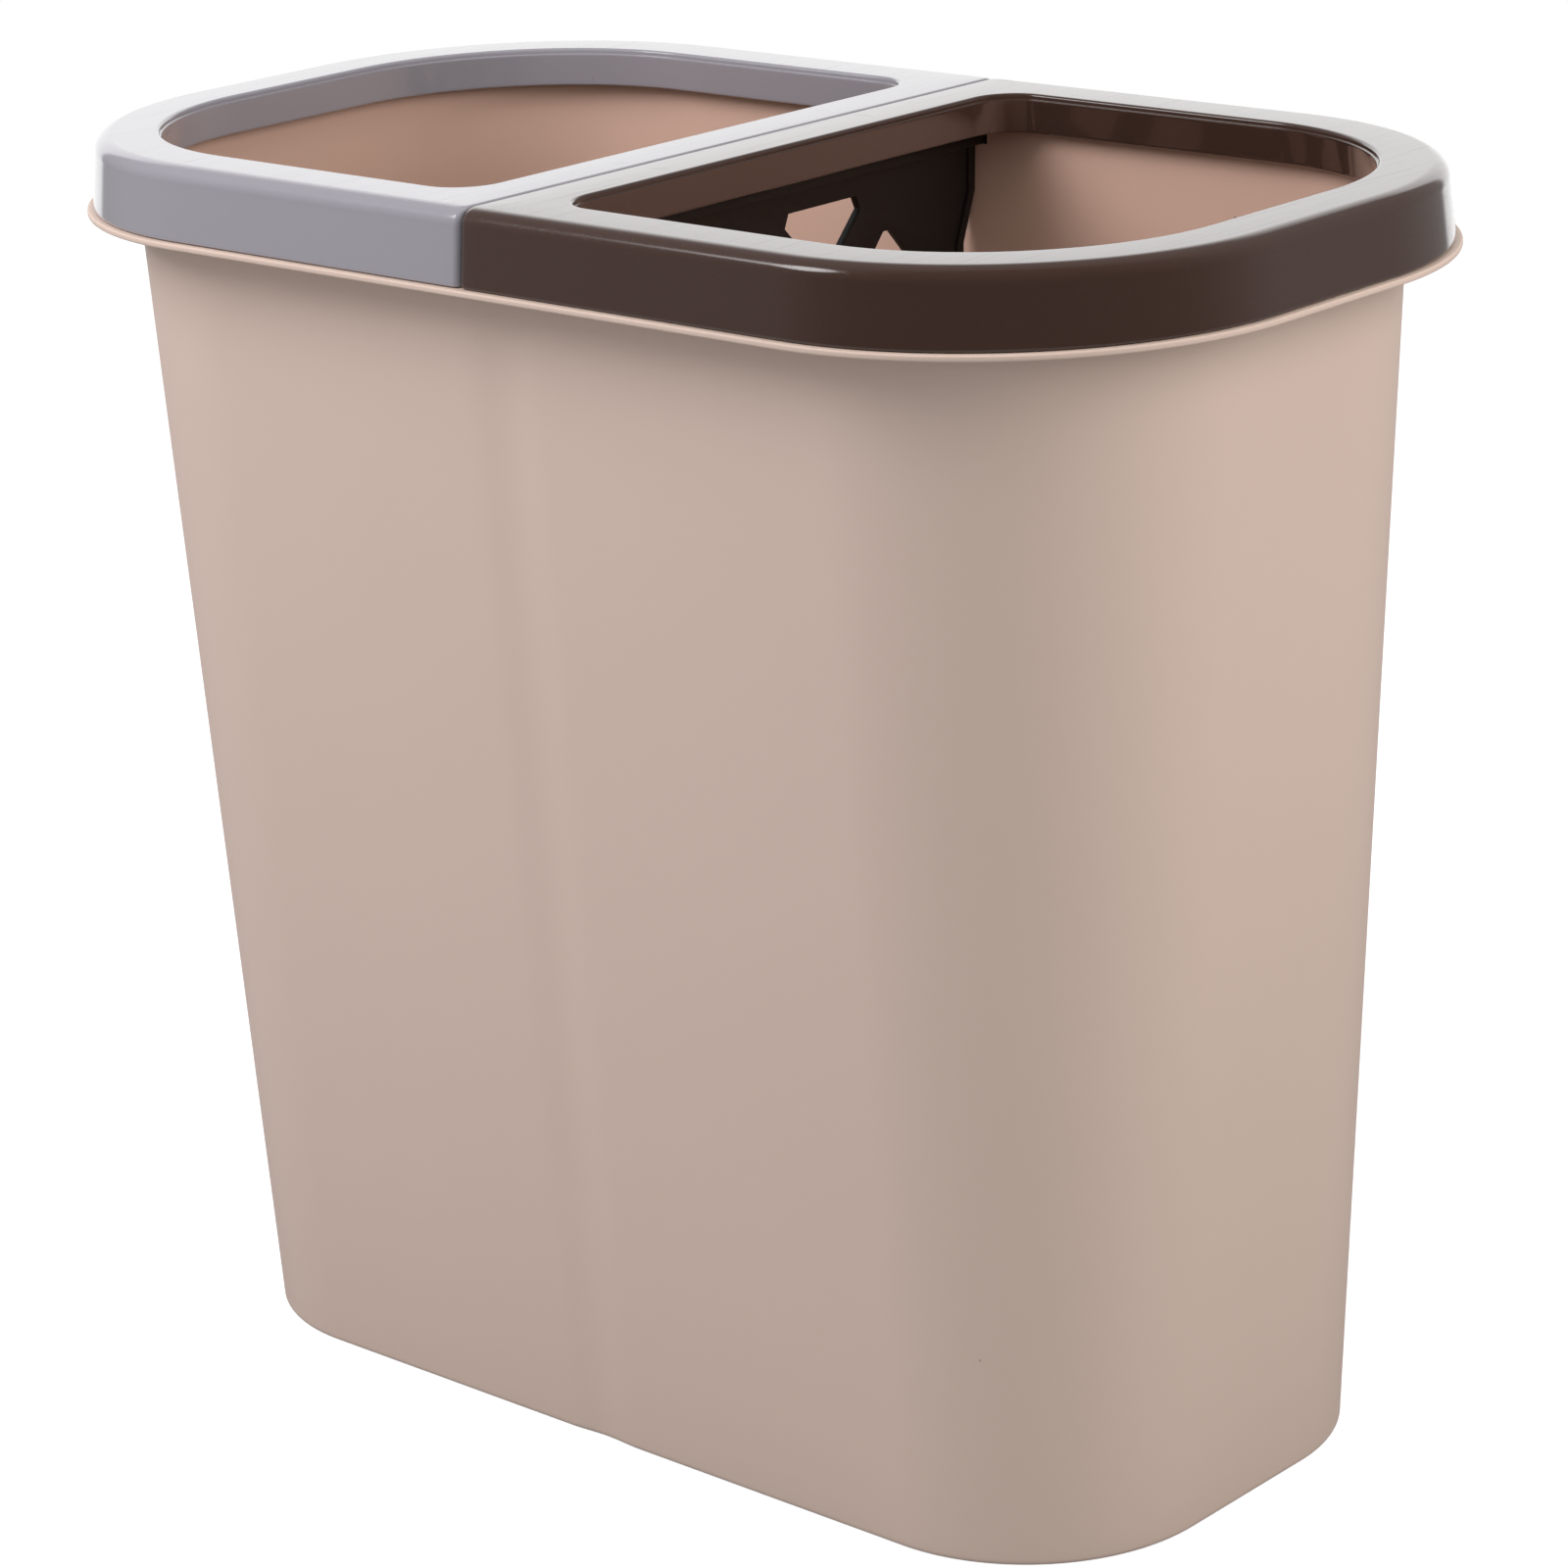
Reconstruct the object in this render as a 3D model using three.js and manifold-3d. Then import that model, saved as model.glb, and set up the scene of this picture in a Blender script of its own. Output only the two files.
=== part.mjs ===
// Double recycling bin: one tapered moulded body, a lattice divider that hangs across its middle,
// and two press rings, grey and brown, that clamp a bag in each half of the mouth.
// Millimetres, +Z up, origin in the middle of the base. X runs along the bin: the grey ring is at -X
// and the brown ring at +X.

import * as THREE from 'three';
import { mergeVertices } from 'three/addons/utils/BufferGeometryUtils.js';
import Module from 'manifold-3d';

const wasm = await Module();
wasm.setup();

// ---------------------------------------------------------------- body sizes
const BASE_LENGTH = 342.6;
const BASE_WIDTH = 167.6;
const BASE_CORNER_RADIUS = 57.8;
const WALL_DRAFT = 0.053; // how far the walls lean out, in mm for each mm of height
const WALL = 2;
const FLOOR = 2.5;
const FLOOR_FILLET = 8; // inside, where the wall meets the floor
const FOOT_HEIGHT = 3; // the floor is raised inside a rim that the bin stands on
const FOOT_WIDTH = 9;
const BASE_EDGE_RADIUS = 1.5;

const LIP_TOP = 348.7; // height of the face that the rings rest on
const LIP_THICKNESS = 1.8;
const LIP_LEDGE = 1.8; // how far the lip shows outside the rings
const LIP_EDGE_RADIUS = 0.6;
const LIP_FILLET = 3; // under the lip, against the wall
const RIM_REACH = 13.3; // from the wall out to the foot of a ring's skirt
const UPSTAND_EDGE = 0.6; // bevel of the wall's top edge

const CHANNEL_DEPTH_TOP = 1.2; // shallow upright channel in the middle of each long wall
const CHANNEL_DEPTH_BASE = 0.8;
const CHANNEL_HALF_WIDTH_TOP = 14.6;
const CHANNEL_HALF_WIDTH_BASE = 13.6;

// ---------------------------------------------------------------- ring sizes
const RING_HEIGHT = 21;
const RING_WALL = 2;
const SKIRT_DRAFT = 0.1; // how far the outer skirt leans in, in mm for each mm of height
const SHOULDER_RADIUS = 5;
const SKIRT_CORNER_RADIUS = 2; // upright corners where the rings meet
const POCKET_CORNER_RADIUS = 1; // the same corners inside
const SEAM_GAP = 0.6;
const SEAM_EDGE_RADIUS = 1.2;
const BAR_WIDTH = 16.2; // bar of each ring along the seam
const BAR_CORNER_RADIUS = 13; // corners of the opening at the bar
const INNER_SKIRT_DEPTH = 11.6; // from the top of the ring
const INNER_SKIRT_WALL = 1.8;
const INNER_SKIRT_DRAFT = 0.1; // how far it leans out below its step, in mm for each mm of height
const RIM_STEP = 0.5; // step inside the opening's rim, down to the inner skirt's face
const RIM_STEP_DEPTH = 1.7; // from the top of the ring
const RIM_EDGE_RADIUS = 1;
const RIB_THICKNESS = 1.6;
const BAR_RIB_DEPTH = 8;
const BAR_RIB_Y = 42;
const LONG_RIB_X = [42, 92];
const CORNER_RIB_ANGLES = [30, 60]; // degrees round each outer corner

// ---------------------------------------------------------------- divider sizes
const PANEL_THICKNESS = 2.6;
const RAIL_WIDTH = 11; // flat rail along the divider's top
const RAIL_THICKNESS = 3.1;
const EAR_LENGTH = 7.6; // how far each end of the rail reaches through the wall's notch
const EAR_DEPTH = 17; // top part that fits between the channels' ridges
const EAR_SLANT = 15; // height over which the edge steps in below it
const SIDE_GAP = 5; // how far the lower edge stands back from the ridge
const TOP_BAND = 10;
const BOTTOM_BAND = 14;
const EDGE_BAND = 13;
const BEAD_WIDTH = 3; // stiffening bead round the panel
const BEAD_THICKNESS = 5;
const CELL_PITCH = 32; // height from one row of openings to the next
const CELL_COLUMNS = 2; // columns of openings on each side of the middle one
const STRUT_WIDTH = 14.8;
const CELL_CORNER = 2.4; // bevel of each opening's corners

// ---------------------------------------------------------------- fits
const SEAT_GAP = 0.3; // between faces that rest on each other
const BAG_GAP = 3.7; // room for a bag between the wall and the foot of a ring's inner skirt
const BAG_FOLD = 4.3; // room for the folded bag over the wall's top edge
const RIB_CLEARANCE = 0.8; // between a ring's ribs and the wall
const SEAM_CLEARANCE = 0.8; // between the seam walls and what they pass over
const EAR_CLEARANCE = 0.5; // between the divider and its notches and ridges
const NOTCH_RISE = 3.6; // notch floor above the lip
const FLOOR_GAP = 3; // under the hanging divider

// ---------------------------------------------------------------- mesh steps
const CORNER_STEPS = 12;
const SMALL_CORNER_STEPS = 4;
const CHANNEL_STEPS = 8;
const FILLET_STEPS = 4;
const SHOULDER_STEPS = 8;
const CUT_MARGIN = 5; // how far a cutting solid runs past what it cuts

// ---------------------------------------------------------------- places worked out from the sizes
const CORNER_X = BASE_LENGTH / 2 - BASE_CORNER_RADIUS;
const CORNER_Y = BASE_WIDTH / 2 - BASE_CORNER_RADIUS;
const FLOOR_TOP = FOOT_HEIGHT + FLOOR;
const RING_BOTTOM = LIP_TOP + SEAT_GAP;
const RING_TOP = RING_BOTTOM + RING_HEIGHT;
const BODY_TOP = RING_TOP - RING_WALL - BAG_FOLD;
const SKIRT_REACH = wallReach(LIP_TOP) + RIM_REACH;
const LIP_REACH = SKIRT_REACH + LIP_LEDGE;
const INNER_SKIRT_BOTTOM = RING_TOP - INNER_SKIRT_DEPTH;
const INNER_SKIRT_REACH = wallReach(INNER_SKIRT_BOTTOM) - WALL - BAG_GAP;
const INNER_SKIRT_LEAN = INNER_SKIRT_DRAFT * (INNER_SKIRT_DEPTH - RIM_STEP_DEPTH);
const OPENING_REACH = INNER_SKIRT_REACH - INNER_SKIRT_LEAN - INNER_SKIRT_WALL + RIM_STEP;
const SEAM_X = SEAM_GAP / 2;
const OPENING_X = SEAM_X + BAR_WIDTH;
const NOTCH_FLOOR = LIP_TOP + NOTCH_RISE;
const RAIL_BOTTOM = NOTCH_FLOOR + SEAT_GAP;
const DIVIDER_TOP = RAIL_BOTTOM + RAIL_THICKNESS;
const DIVIDER_BOTTOM = FLOOR_TOP + FLOOR_GAP;
const EAR_BOTTOM = DIVIDER_TOP - EAR_DEPTH;
const EAR_END = guideHalfWidth(RAIL_BOTTOM) + EAR_LENGTH;

// Reach of the wall's outside at a height: its distance from the line through the corner centres.
function wallReach(height) {
  return BASE_CORNER_RADIUS + WALL_DRAFT * height;
}

// Reach of a ring's outer skirt at a height.
function skirtReach(height) {
  return SKIRT_REACH - SKIRT_DRAFT * (height - RING_BOTTOM);
}

// A value that runs from the base of the wall to its top.
function alongWall(atBase, atTop, height) {
  return atBase + (atTop - atBase) * (height / BODY_TOP);
}

// Half the width between the ridges that the channels make inside, less the divider's clearance.
function guideHalfWidth(height) {
  const depth = alongWall(CHANNEL_DEPTH_BASE, CHANNEL_DEPTH_TOP, height);
  return CORNER_Y + wallReach(height) - WALL - depth - EAR_CLEARANCE;
}

// Half the divider's width at a height: full at the ears, then stepping in below them.
function dividerHalfWidth(height) {
  const stepBack = Math.min(1, Math.max(0, (EAR_BOTTOM - height) / EAR_SLANT));
  return guideHalfWidth(height) - SIDE_GAP * stepBack;
}

// ---------------------------------------------------------------- solids
// Closed skin through loops of equally many points, capped at the first loop and the last.
function loft(loops) {
  const count = loops[0].length;
  const positions = loops.flat().flatMap((point) => point.toArray());
  const indices = [];
  for (let level = 0; level < loops.length - 1; level++) {
    for (let step = 0; step < count; step++) {
      const next = (step + 1) % count;
      const low = level * count;
      const high = low + count;
      indices.push(low + step, low + next, high + next);
      indices.push(low + step, high + next, high + step);
    }
  }
  const lastLoop = (loops.length - 1) * count;
  for (const [a, b, c] of THREE.ShapeUtils.triangulateShape(flatten(loops[0]), [])) {
    indices.push(c, b, a);
  }
  for (const [a, b, c] of THREE.ShapeUtils.triangulateShape(flatten(loops.at(-1)), [])) {
    indices.push(lastLoop + a, lastLoop + b, lastLoop + c);
  }
  const geometry = new THREE.BufferGeometry();
  geometry.setAttribute('position', new THREE.Float32BufferAttribute(positions, 3));
  geometry.setIndex(indices);
  return toSolid(geometry);
}

function flatten(loop) {
  return loop.map((point) => new THREE.Vector2(point.x, point.y));
}

function toSolid(source) {
  const bare = source.clone();
  bare.deleteAttribute('normal');
  bare.deleteAttribute('uv');
  const merged = mergeVertices(bare, 1e-4);
  return new wasm.Manifold(new wasm.Mesh({
    numProp: 3,
    vertProperties: new Float32Array(merged.attributes.position.array),
    triVerts: new Uint32Array(merged.index.array),
  }));
}

function toGeometry(solid) {
  const mesh = solid.getMesh();
  const geometry = new THREE.BufferGeometry();
  geometry.setAttribute('position', new THREE.BufferAttribute(new Float32Array(mesh.vertProperties), 3));
  geometry.setIndex(new THREE.BufferAttribute(new Uint32Array(mesh.triVerts), 1));
  geometry.computeVertexNormals();
  return geometry;
}

// Box between two corners.
function block(low, high) {
  const size = high.map((value, axis) => value - low[axis]);
  const middle = high.map((value, axis) => (value + low[axis]) / 2);
  return toSolid(new THREE.BoxGeometry(...size).translate(...middle));
}

// Prism of an outline in the Y-Z plane, centred on the divider's plane.
function uprightPrism(shape, thickness) {
  const geometry = new THREE.ExtrudeGeometry(shape, { depth: thickness, bevelEnabled: false });
  const standUp = new THREE.Matrix4().makeBasis(
    new THREE.Vector3(0, 1, 0),
    new THREE.Vector3(0, 0, 1),
    new THREE.Vector3(1, 0, 0),
  );
  geometry.applyMatrix4(standUp).translate(-thickness / 2, 0, 0);
  return toSolid(geometry);
}

// Quarter round, as pairs of shares that run from 0 to 1: along the first face, then off it.
function quarterRound(steps) {
  return Array.from({ length: steps }, (_, step) => {
    const angle = (step + 1) / steps * Math.PI / 2;
    return [Math.sin(angle), 1 - Math.cos(angle)];
  });
}

// ---------------------------------------------------------------- body
// Rounded rectangle at a height. The channel is pressed in by a share of its full depth.
function bodyLoop(reach, height, share) {
  const depth = share * alongWall(CHANNEL_DEPTH_BASE, CHANNEL_DEPTH_TOP, height);
  const halfWidth = alongWall(CHANNEL_HALF_WIDTH_BASE, CHANNEL_HALF_WIDTH_TOP, height);
  const points = [];
  [[1, 1], [-1, 1], [-1, -1], [1, -1]].forEach(([sideX, sideY], quarter) => {
    for (let step = 0; step <= CORNER_STEPS; step++) {
      const angle = (quarter + step / CORNER_STEPS) * Math.PI / 2;
      const x = sideX * CORNER_X + reach * Math.cos(angle);
      const y = sideY * CORNER_Y + reach * Math.sin(angle);
      points.push(new THREE.Vector3(x, y, height));
    }
    if (quarter % 2 === 1) return;
    for (let step = 0; step <= CHANNEL_STEPS; step++) {
      const across = 1 - 2 * step / CHANNEL_STEPS;
      const inward = depth * (1 + Math.cos(Math.PI * across)) / 2;
      const y = sideY * (CORNER_Y + reach - inward);
      points.push(new THREE.Vector3(sideY * across * halfWidth, y, height));
    }
  });
  return points;
}

// Underside of the raised floor, the foot rim and the rounded edge it stands on.
function footLoops() {
  const inner = BASE_CORNER_RADIUS - BASE_EDGE_RADIUS - FOOT_WIDTH;
  const loops = [
    bodyLoop(inner, FOOT_HEIGHT, 0),
    bodyLoop(inner, 0, 0),
    bodyLoop(BASE_CORNER_RADIUS - BASE_EDGE_RADIUS, 0, 1),
  ];
  for (const [out, up] of quarterRound(FILLET_STEPS)) {
    const height = BASE_EDGE_RADIUS * up;
    loops.push(bodyLoop(wallReach(height) - BASE_EDGE_RADIUS * (1 - out), height, 1));
  }
  return loops;
}

// Outside of the wall up to the fillet under the lip, and the lip round to its top face.
function lipLoops() {
  const underside = LIP_TOP - LIP_THICKNESS;
  const filletBottom = underside - LIP_FILLET;
  const loops = [bodyLoop(wallReach(filletBottom), filletBottom, 1)];
  for (const [up, out] of quarterRound(FILLET_STEPS)) {
    const height = filletBottom + LIP_FILLET * up;
    loops.push(bodyLoop(wallReach(height) + LIP_FILLET * out, height, 1 - out));
  }
  loops.push(
    bodyLoop(LIP_REACH - LIP_EDGE_RADIUS, underside, 0),
    bodyLoop(LIP_REACH, underside + LIP_EDGE_RADIUS, 0),
    bodyLoop(LIP_REACH, LIP_TOP - LIP_EDGE_RADIUS, 0),
    bodyLoop(LIP_REACH - LIP_EDGE_RADIUS, LIP_TOP, 0),
  );
  return loops;
}

// The wall above the lip, down its inside, and the fillet into the floor.
function insideLoops() {
  const innerReach = (height) => wallReach(height) - WALL;
  const bevelStart = BODY_TOP - UPSTAND_EDGE;
  const filletTop = FLOOR_TOP + FLOOR_FILLET;
  const loops = [
    bodyLoop(wallReach(LIP_TOP), LIP_TOP, 1),
    bodyLoop(wallReach(bevelStart), bevelStart, 1),
    bodyLoop(wallReach(BODY_TOP) - UPSTAND_EDGE, BODY_TOP, 1),
    bodyLoop(innerReach(BODY_TOP) + UPSTAND_EDGE, BODY_TOP, 1),
    bodyLoop(innerReach(bevelStart), bevelStart, 1),
    bodyLoop(innerReach(filletTop), filletTop, 1),
  ];
  for (const [down, inward] of quarterRound(FILLET_STEPS)) {
    const height = filletTop - FLOOR_FILLET * down;
    loops.push(bodyLoop(innerReach(height) - FLOOR_FILLET * inward, height, 1 - inward));
  }
  return loops;
}

// Slot in the top of one long wall that an ear of the divider drops into.
function earNotch(side) {
  const halfWidth = RAIL_WIDTH / 2 + EAR_CLEARANCE;
  const inner = guideHalfWidth(NOTCH_FLOOR) - CUT_MARGIN;
  const outer = EAR_END + CUT_MARGIN;
  const [lowY, highY] = [side * inner, side * outer].sort((a, b) => a - b);
  return block([-halfWidth, lowY, NOTCH_FLOOR], [halfWidth, highY, BODY_TOP + CUT_MARGIN]);
}

function makeBody() {
  const skin = loft([...footLoops(), ...lipLoops(), ...insideLoops()]);
  return toGeometry(skin.subtract(earNotch(1)).subtract(earNotch(-1)));
}

// ---------------------------------------------------------------- press rings
// D-shaped outline of the ring on the +X side: two large outer corners, and two small ones at barX.
function ringLoop(reach, barX, smallRadius, height) {
  const smallX = barX + smallRadius;
  const smallY = CORNER_Y + reach - smallRadius;
  const corners = [
    [CORNER_X, CORNER_Y, reach, CORNER_STEPS],
    [smallX, smallY, smallRadius, SMALL_CORNER_STEPS],
    [smallX, -smallY, smallRadius, SMALL_CORNER_STEPS],
    [CORNER_X, -CORNER_Y, reach, CORNER_STEPS],
  ];
  return corners.flatMap(([centreX, centreY, radius, steps], quarter) => (
    Array.from({ length: steps + 1 }, (_, step) => {
      const angle = (quarter + step / steps) * Math.PI / 2;
      const x = centreX + radius * Math.cos(angle);
      const y = centreY + radius * Math.sin(angle);
      return new THREE.Vector3(x, y, height);
    })
  ));
}

// How far a rounded edge stands back at a depth below the face it rounds off.
function edgeSetback(radius, depth) {
  const rise = Math.max(0, radius - depth);
  return radius - Math.sqrt(radius * radius - rise * rise);
}

// The ring's outer shape moved in by inset: leaning skirt, round shoulder and flat top.
function ringSkin(inset, smallRadius, bottom) {
  const barX = SEAM_X + inset;
  const shoulder = SHOULDER_RADIUS - inset;
  const seamEdge = Math.max(0, SEAM_EDGE_RADIUS - inset);
  const shoulderStart = RING_TOP - SHOULDER_RADIUS;
  const startReach = skirtReach(shoulderStart) - inset;
  const loops = [
    ringLoop(skirtReach(bottom) - inset, barX, smallRadius, bottom),
    ringLoop(startReach, barX, smallRadius, shoulderStart),
  ];
  for (const [up, inward] of quarterRound(SHOULDER_STEPS)) {
    const height = shoulderStart + shoulder * up;
    const setback = edgeSetback(seamEdge, shoulder * (1 - up));
    loops.push(ringLoop(startReach - shoulder * inward, barX + setback, smallRadius, height));
  }
  return loft(loops);
}

// Outline of the opening's rim, moved out by a distance.
function openingLoop(out, height) {
  return ringLoop(OPENING_REACH + out, OPENING_X - out, BAR_CORNER_RADIUS + out, height);
}

// How far the inner skirt's inside face stands out from the rim at a height.
function innerSkirtOut(height) {
  return INNER_SKIRT_DRAFT * (RING_TOP - RIM_STEP_DEPTH - height) - RIM_STEP;
}

// Block that leaves the inner skirt standing when the pocket is cut round it.
function innerSkirtBlock() {
  const level = (height) => openingLoop(innerSkirtOut(height) + INNER_SKIRT_WALL, height);
  return loft([level(INNER_SKIRT_BOTTOM), level(RING_TOP)]);
}

// Rib that runs straight out from a corner centre into the outer skirt, clear of the wall.
function radialRib(centreX, centreY, degrees) {
  const inner = wallReach(BODY_TOP) + RIB_CLEARANCE;
  const length = SKIRT_REACH - inner;
  const height = RING_TOP - NOTCH_FLOOR;
  const geometry = new THREE.BoxGeometry(length, RIB_THICKNESS, height);
  geometry.translate(inner + length / 2, 0, NOTCH_FLOOR + height / 2);
  geometry.rotateZ(THREE.MathUtils.degToRad(degrees));
  geometry.translate(centreX, centreY, 0);
  return toSolid(geometry);
}

// Rib across the bar, from the seam wall to the inner skirt.
function barRib(y) {
  const bottom = RING_TOP - RING_WALL - BAR_RIB_DEPTH;
  const low = [SEAM_X, y - RIB_THICKNESS / 2, bottom];
  const high = [OPENING_X - INNER_SKIRT_WALL / 2, y + RIB_THICKNESS / 2, RING_TOP];
  return block(low, high);
}

function ringRibs() {
  let ribs = radialRib(CORNER_X, 0, 0);
  for (const side of [1, -1]) {
    ribs = ribs.add(barRib(side * BAR_RIB_Y));
    for (const x of LONG_RIB_X) {
      ribs = ribs.add(radialRib(x, side * CORNER_Y, side * 90));
    }
    for (const angle of CORNER_RIB_ANGLES) {
      ribs = ribs.add(radialRib(CORNER_X, side * CORNER_Y, side * angle));
    }
  }
  return ribs;
}

// The opening: the inner skirt's leaning face, the step out to the rim, and the rim's rounded edge.
function ringMouth() {
  const cutBottom = INNER_SKIRT_BOTTOM - CUT_MARGIN;
  const step = RING_TOP - RIM_STEP_DEPTH;
  const roundStart = RING_TOP - RIM_EDGE_RADIUS;
  const loops = [
    openingLoop(innerSkirtOut(cutBottom), cutBottom),
    openingLoop(innerSkirtOut(step), step),
    openingLoop(0, step),
    openingLoop(0, roundStart),
  ];
  for (const [up, out] of quarterRound(FILLET_STEPS)) {
    loops.push(openingLoop(RIM_EDGE_RADIUS * out, roundStart + RIM_EDGE_RADIUS * up));
  }
  loops.push(openingLoop(RIM_EDGE_RADIUS, RING_TOP + CUT_MARGIN));
  return loft(loops);
}

// Over the mouth the seam wall stops short of the body's top edge and of the divider's ears.
function seamWallCut() {
  const halfLength = EAR_END + SEAM_CLEARANCE;
  const insideFace = SEAM_X + RING_WALL;
  const low = [SEAM_X - CUT_MARGIN, -halfLength, RING_BOTTOM - CUT_MARGIN];
  const high = [insideFace + SEAM_CLEARANCE, halfLength, BODY_TOP + SEAM_CLEARANCE];
  return block(low, high);
}

function makeRing() {
  const shell = ringSkin(0, SKIRT_CORNER_RADIUS, RING_BOTTOM);
  const pocket = ringSkin(RING_WALL, POCKET_CORNER_RADIUS, RING_BOTTOM - CUT_MARGIN);
  const middleOfWall = ringSkin(RING_WALL / 2, POCKET_CORNER_RADIUS, RING_BOTTOM);
  const ring = shell
    .subtract(pocket.subtract(innerSkirtBlock()))
    .add(ringRibs().intersect(middleOfWall))
    .subtract(ringMouth())
    .subtract(seamWallCut());
  return toGeometry(ring);
}

// The same moulding turned half round, for the other half of the mouth.
function turned(geometry) {
  return geometry.clone().rotateZ(Math.PI);
}

// ---------------------------------------------------------------- divider
// Panel outline with its edge moved in by inset.
function panelOutline(inset) {
  const heights = [
    DIVIDER_BOTTOM + inset,
    EAR_BOTTOM - EAR_SLANT,
    EAR_BOTTOM,
    DIVIDER_TOP - inset,
  ];
  const right = heights.map((height) => new THREE.Vector2(dividerHalfWidth(height) - inset, height));
  const left = right.map((point) => new THREE.Vector2(-point.x, point.y)).reverse();
  return [...right, ...left];
}

// Polygon with each corner cut back by size along both of its edges.
function cutCorners(points, size) {
  return points.flatMap((corner, index) => {
    const before = points.at(index - 1);
    const after = points[(index + 1) % points.length];
    const toward = (other) => corner.clone().add(other.clone().sub(corner).setLength(size));
    return [toward(before), toward(after)];
  });
}

// Openings of the lattice: diamonds in staggered rows, halved at the top and bottom bands, and
// narrower as the panel narrows.
function latticeCells() {
  const topLine = DIVIDER_TOP - TOP_BAND;
  const rows = Math.floor((topLine - DIVIDER_BOTTOM - BOTTOM_BAND) / CELL_PITCH);
  const strutHalf = STRUT_WIDTH * Math.SQRT1_2;
  const halfHigh = CELL_PITCH - strutHalf;
  const cells = [];
  for (let row = 0; row <= rows; row++) {
    const height = topLine - row * CELL_PITCH;
    const clearWidth = dividerHalfWidth(height - CELL_PITCH / 2) - EDGE_BAND;
    const pitch = (clearWidth + strutHalf) / (CELL_COLUMNS + 1);
    const halfWide = pitch - strutHalf;
    for (let column = -CELL_COLUMNS; column <= CELL_COLUMNS; column++) {
      if ((row + column) % 2 === 0) continue;
      const corners = [new THREE.Vector2(column * pitch + halfWide, height)];
      if (row > 0) corners.push(new THREE.Vector2(column * pitch, height + halfHigh));
      corners.push(new THREE.Vector2(column * pitch - halfWide, height));
      if (row < rows) corners.push(new THREE.Vector2(column * pitch, height - halfHigh));
      cells.push(cutCorners(corners, CELL_CORNER));
    }
  }
  return cells;
}

function makeDivider() {
  const panel = new THREE.Shape(panelOutline(0));
  for (const cell of latticeCells()) {
    panel.holes.push(new THREE.Path(cell));
  }
  const bead = new THREE.Shape(panelOutline(0));
  bead.holes.push(new THREE.Path(panelOutline(BEAD_WIDTH)));
  const rail = block(
    [-RAIL_WIDTH / 2, -EAR_END, RAIL_BOTTOM],
    [RAIL_WIDTH / 2, EAR_END, DIVIDER_TOP],
  );
  return toGeometry(uprightPrism(panel, PANEL_THICKNESS).add(uprightPrism(bead, BEAD_THICKNESS)).add(rail));
}

// ---------------------------------------------------------------- finishes and assembly
const beigePlastic = new THREE.MeshStandardMaterial({ color: '#c3b0a2', roughness: 0.42, metalness: 0 });
const greyPlastic = new THREE.MeshStandardMaterial({ color: '#96939b', roughness: 0.2, metalness: 0 });
const brownPlastic = new THREE.MeshStandardMaterial({ color: '#4a362f', roughness: 0.18, metalness: 0 });
const blackPlastic = new THREE.MeshStandardMaterial({ color: '#171413', roughness: 0.4, metalness: 0 });

function namedMesh(name, geometry, material) {
  const mesh = new THREE.Mesh(geometry, material);
  mesh.name = name;
  return mesh;
}

const ringGeometry = makeRing();
const bin = new THREE.Group();
bin.add(
  namedMesh('bin_body', makeBody(), beigePlastic),
  namedMesh('lattice_divider', makeDivider(), blackPlastic),
  namedMesh('grey_press_ring', turned(ringGeometry), greyPlastic),
  namedMesh('brown_press_ring', ringGeometry, brownPlastic),
);

export default bin;
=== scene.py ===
import math
from contextlib import contextmanager

import bmesh
import bpy
from bpy.props import FloatProperty, FloatVectorProperty, IntProperty, PointerProperty
from mathutils import Matrix, Vector


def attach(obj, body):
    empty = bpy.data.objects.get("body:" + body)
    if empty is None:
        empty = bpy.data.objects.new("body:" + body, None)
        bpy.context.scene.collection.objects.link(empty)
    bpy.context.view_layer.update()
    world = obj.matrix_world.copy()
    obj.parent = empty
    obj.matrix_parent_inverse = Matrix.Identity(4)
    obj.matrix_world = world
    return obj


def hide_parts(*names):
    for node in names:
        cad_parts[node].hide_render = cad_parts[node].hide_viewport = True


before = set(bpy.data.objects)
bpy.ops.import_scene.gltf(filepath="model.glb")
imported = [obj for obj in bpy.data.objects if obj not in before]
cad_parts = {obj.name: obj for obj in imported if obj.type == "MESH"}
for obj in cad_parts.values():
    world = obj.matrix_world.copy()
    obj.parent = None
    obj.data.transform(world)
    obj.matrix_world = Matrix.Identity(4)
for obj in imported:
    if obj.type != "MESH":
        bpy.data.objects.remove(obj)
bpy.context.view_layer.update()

bl_info = {
    "name": "Double Recycling Bin",
    "version": (1, 0, 0),
    "blender": (4, 5, 0),
    "location": "3D View > Sidebar > Recycling Bin",
    "description": "Builds a divided recycling bin and its two press rings on the packed frame",
    "category": "Object",
}

MM = 0.001
SHARP_ANGLE = math.radians(32)
FLAT_ANGLE = 0.01
SUPPORT = 0.8 * MM
RIM_SUPPORT = 0.6 * MM
CUT_SUPPORT = 0.4 * MM
BAR_MARGIN = 0.3 * MM
FOOT_BEVEL = 0.5 * MM
SAME_POINT = 0.001 * MM
WELD = 0.01 * MM
SLOT_CUTTER = 30 * MM
SLOT_OUTSET = 4 * MM
SENSOR_WIDTH = 36.0
FLOOR_HALF = 1.6
MIRRORED_FLOOR = (0.36, 0.35, 0.34, 1.0)
AMBIENT_TINT = (0.96, 1.0, 1.08, 1.0)
SOFTBOX_SIZE = 0.6
SOFTBOX_AIM = 0.2


# ---------------------------------------------------------------- properties
def distance(name, description, millimetres):
    """A length that a user can change, given here in millimetres."""
    return FloatProperty(
        name=name,
        description=description,
        default=millimetres * MM,
        min=0.0,
        subtype="DISTANCE",
        unit="LENGTH",
        precision=4,
    )


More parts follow.
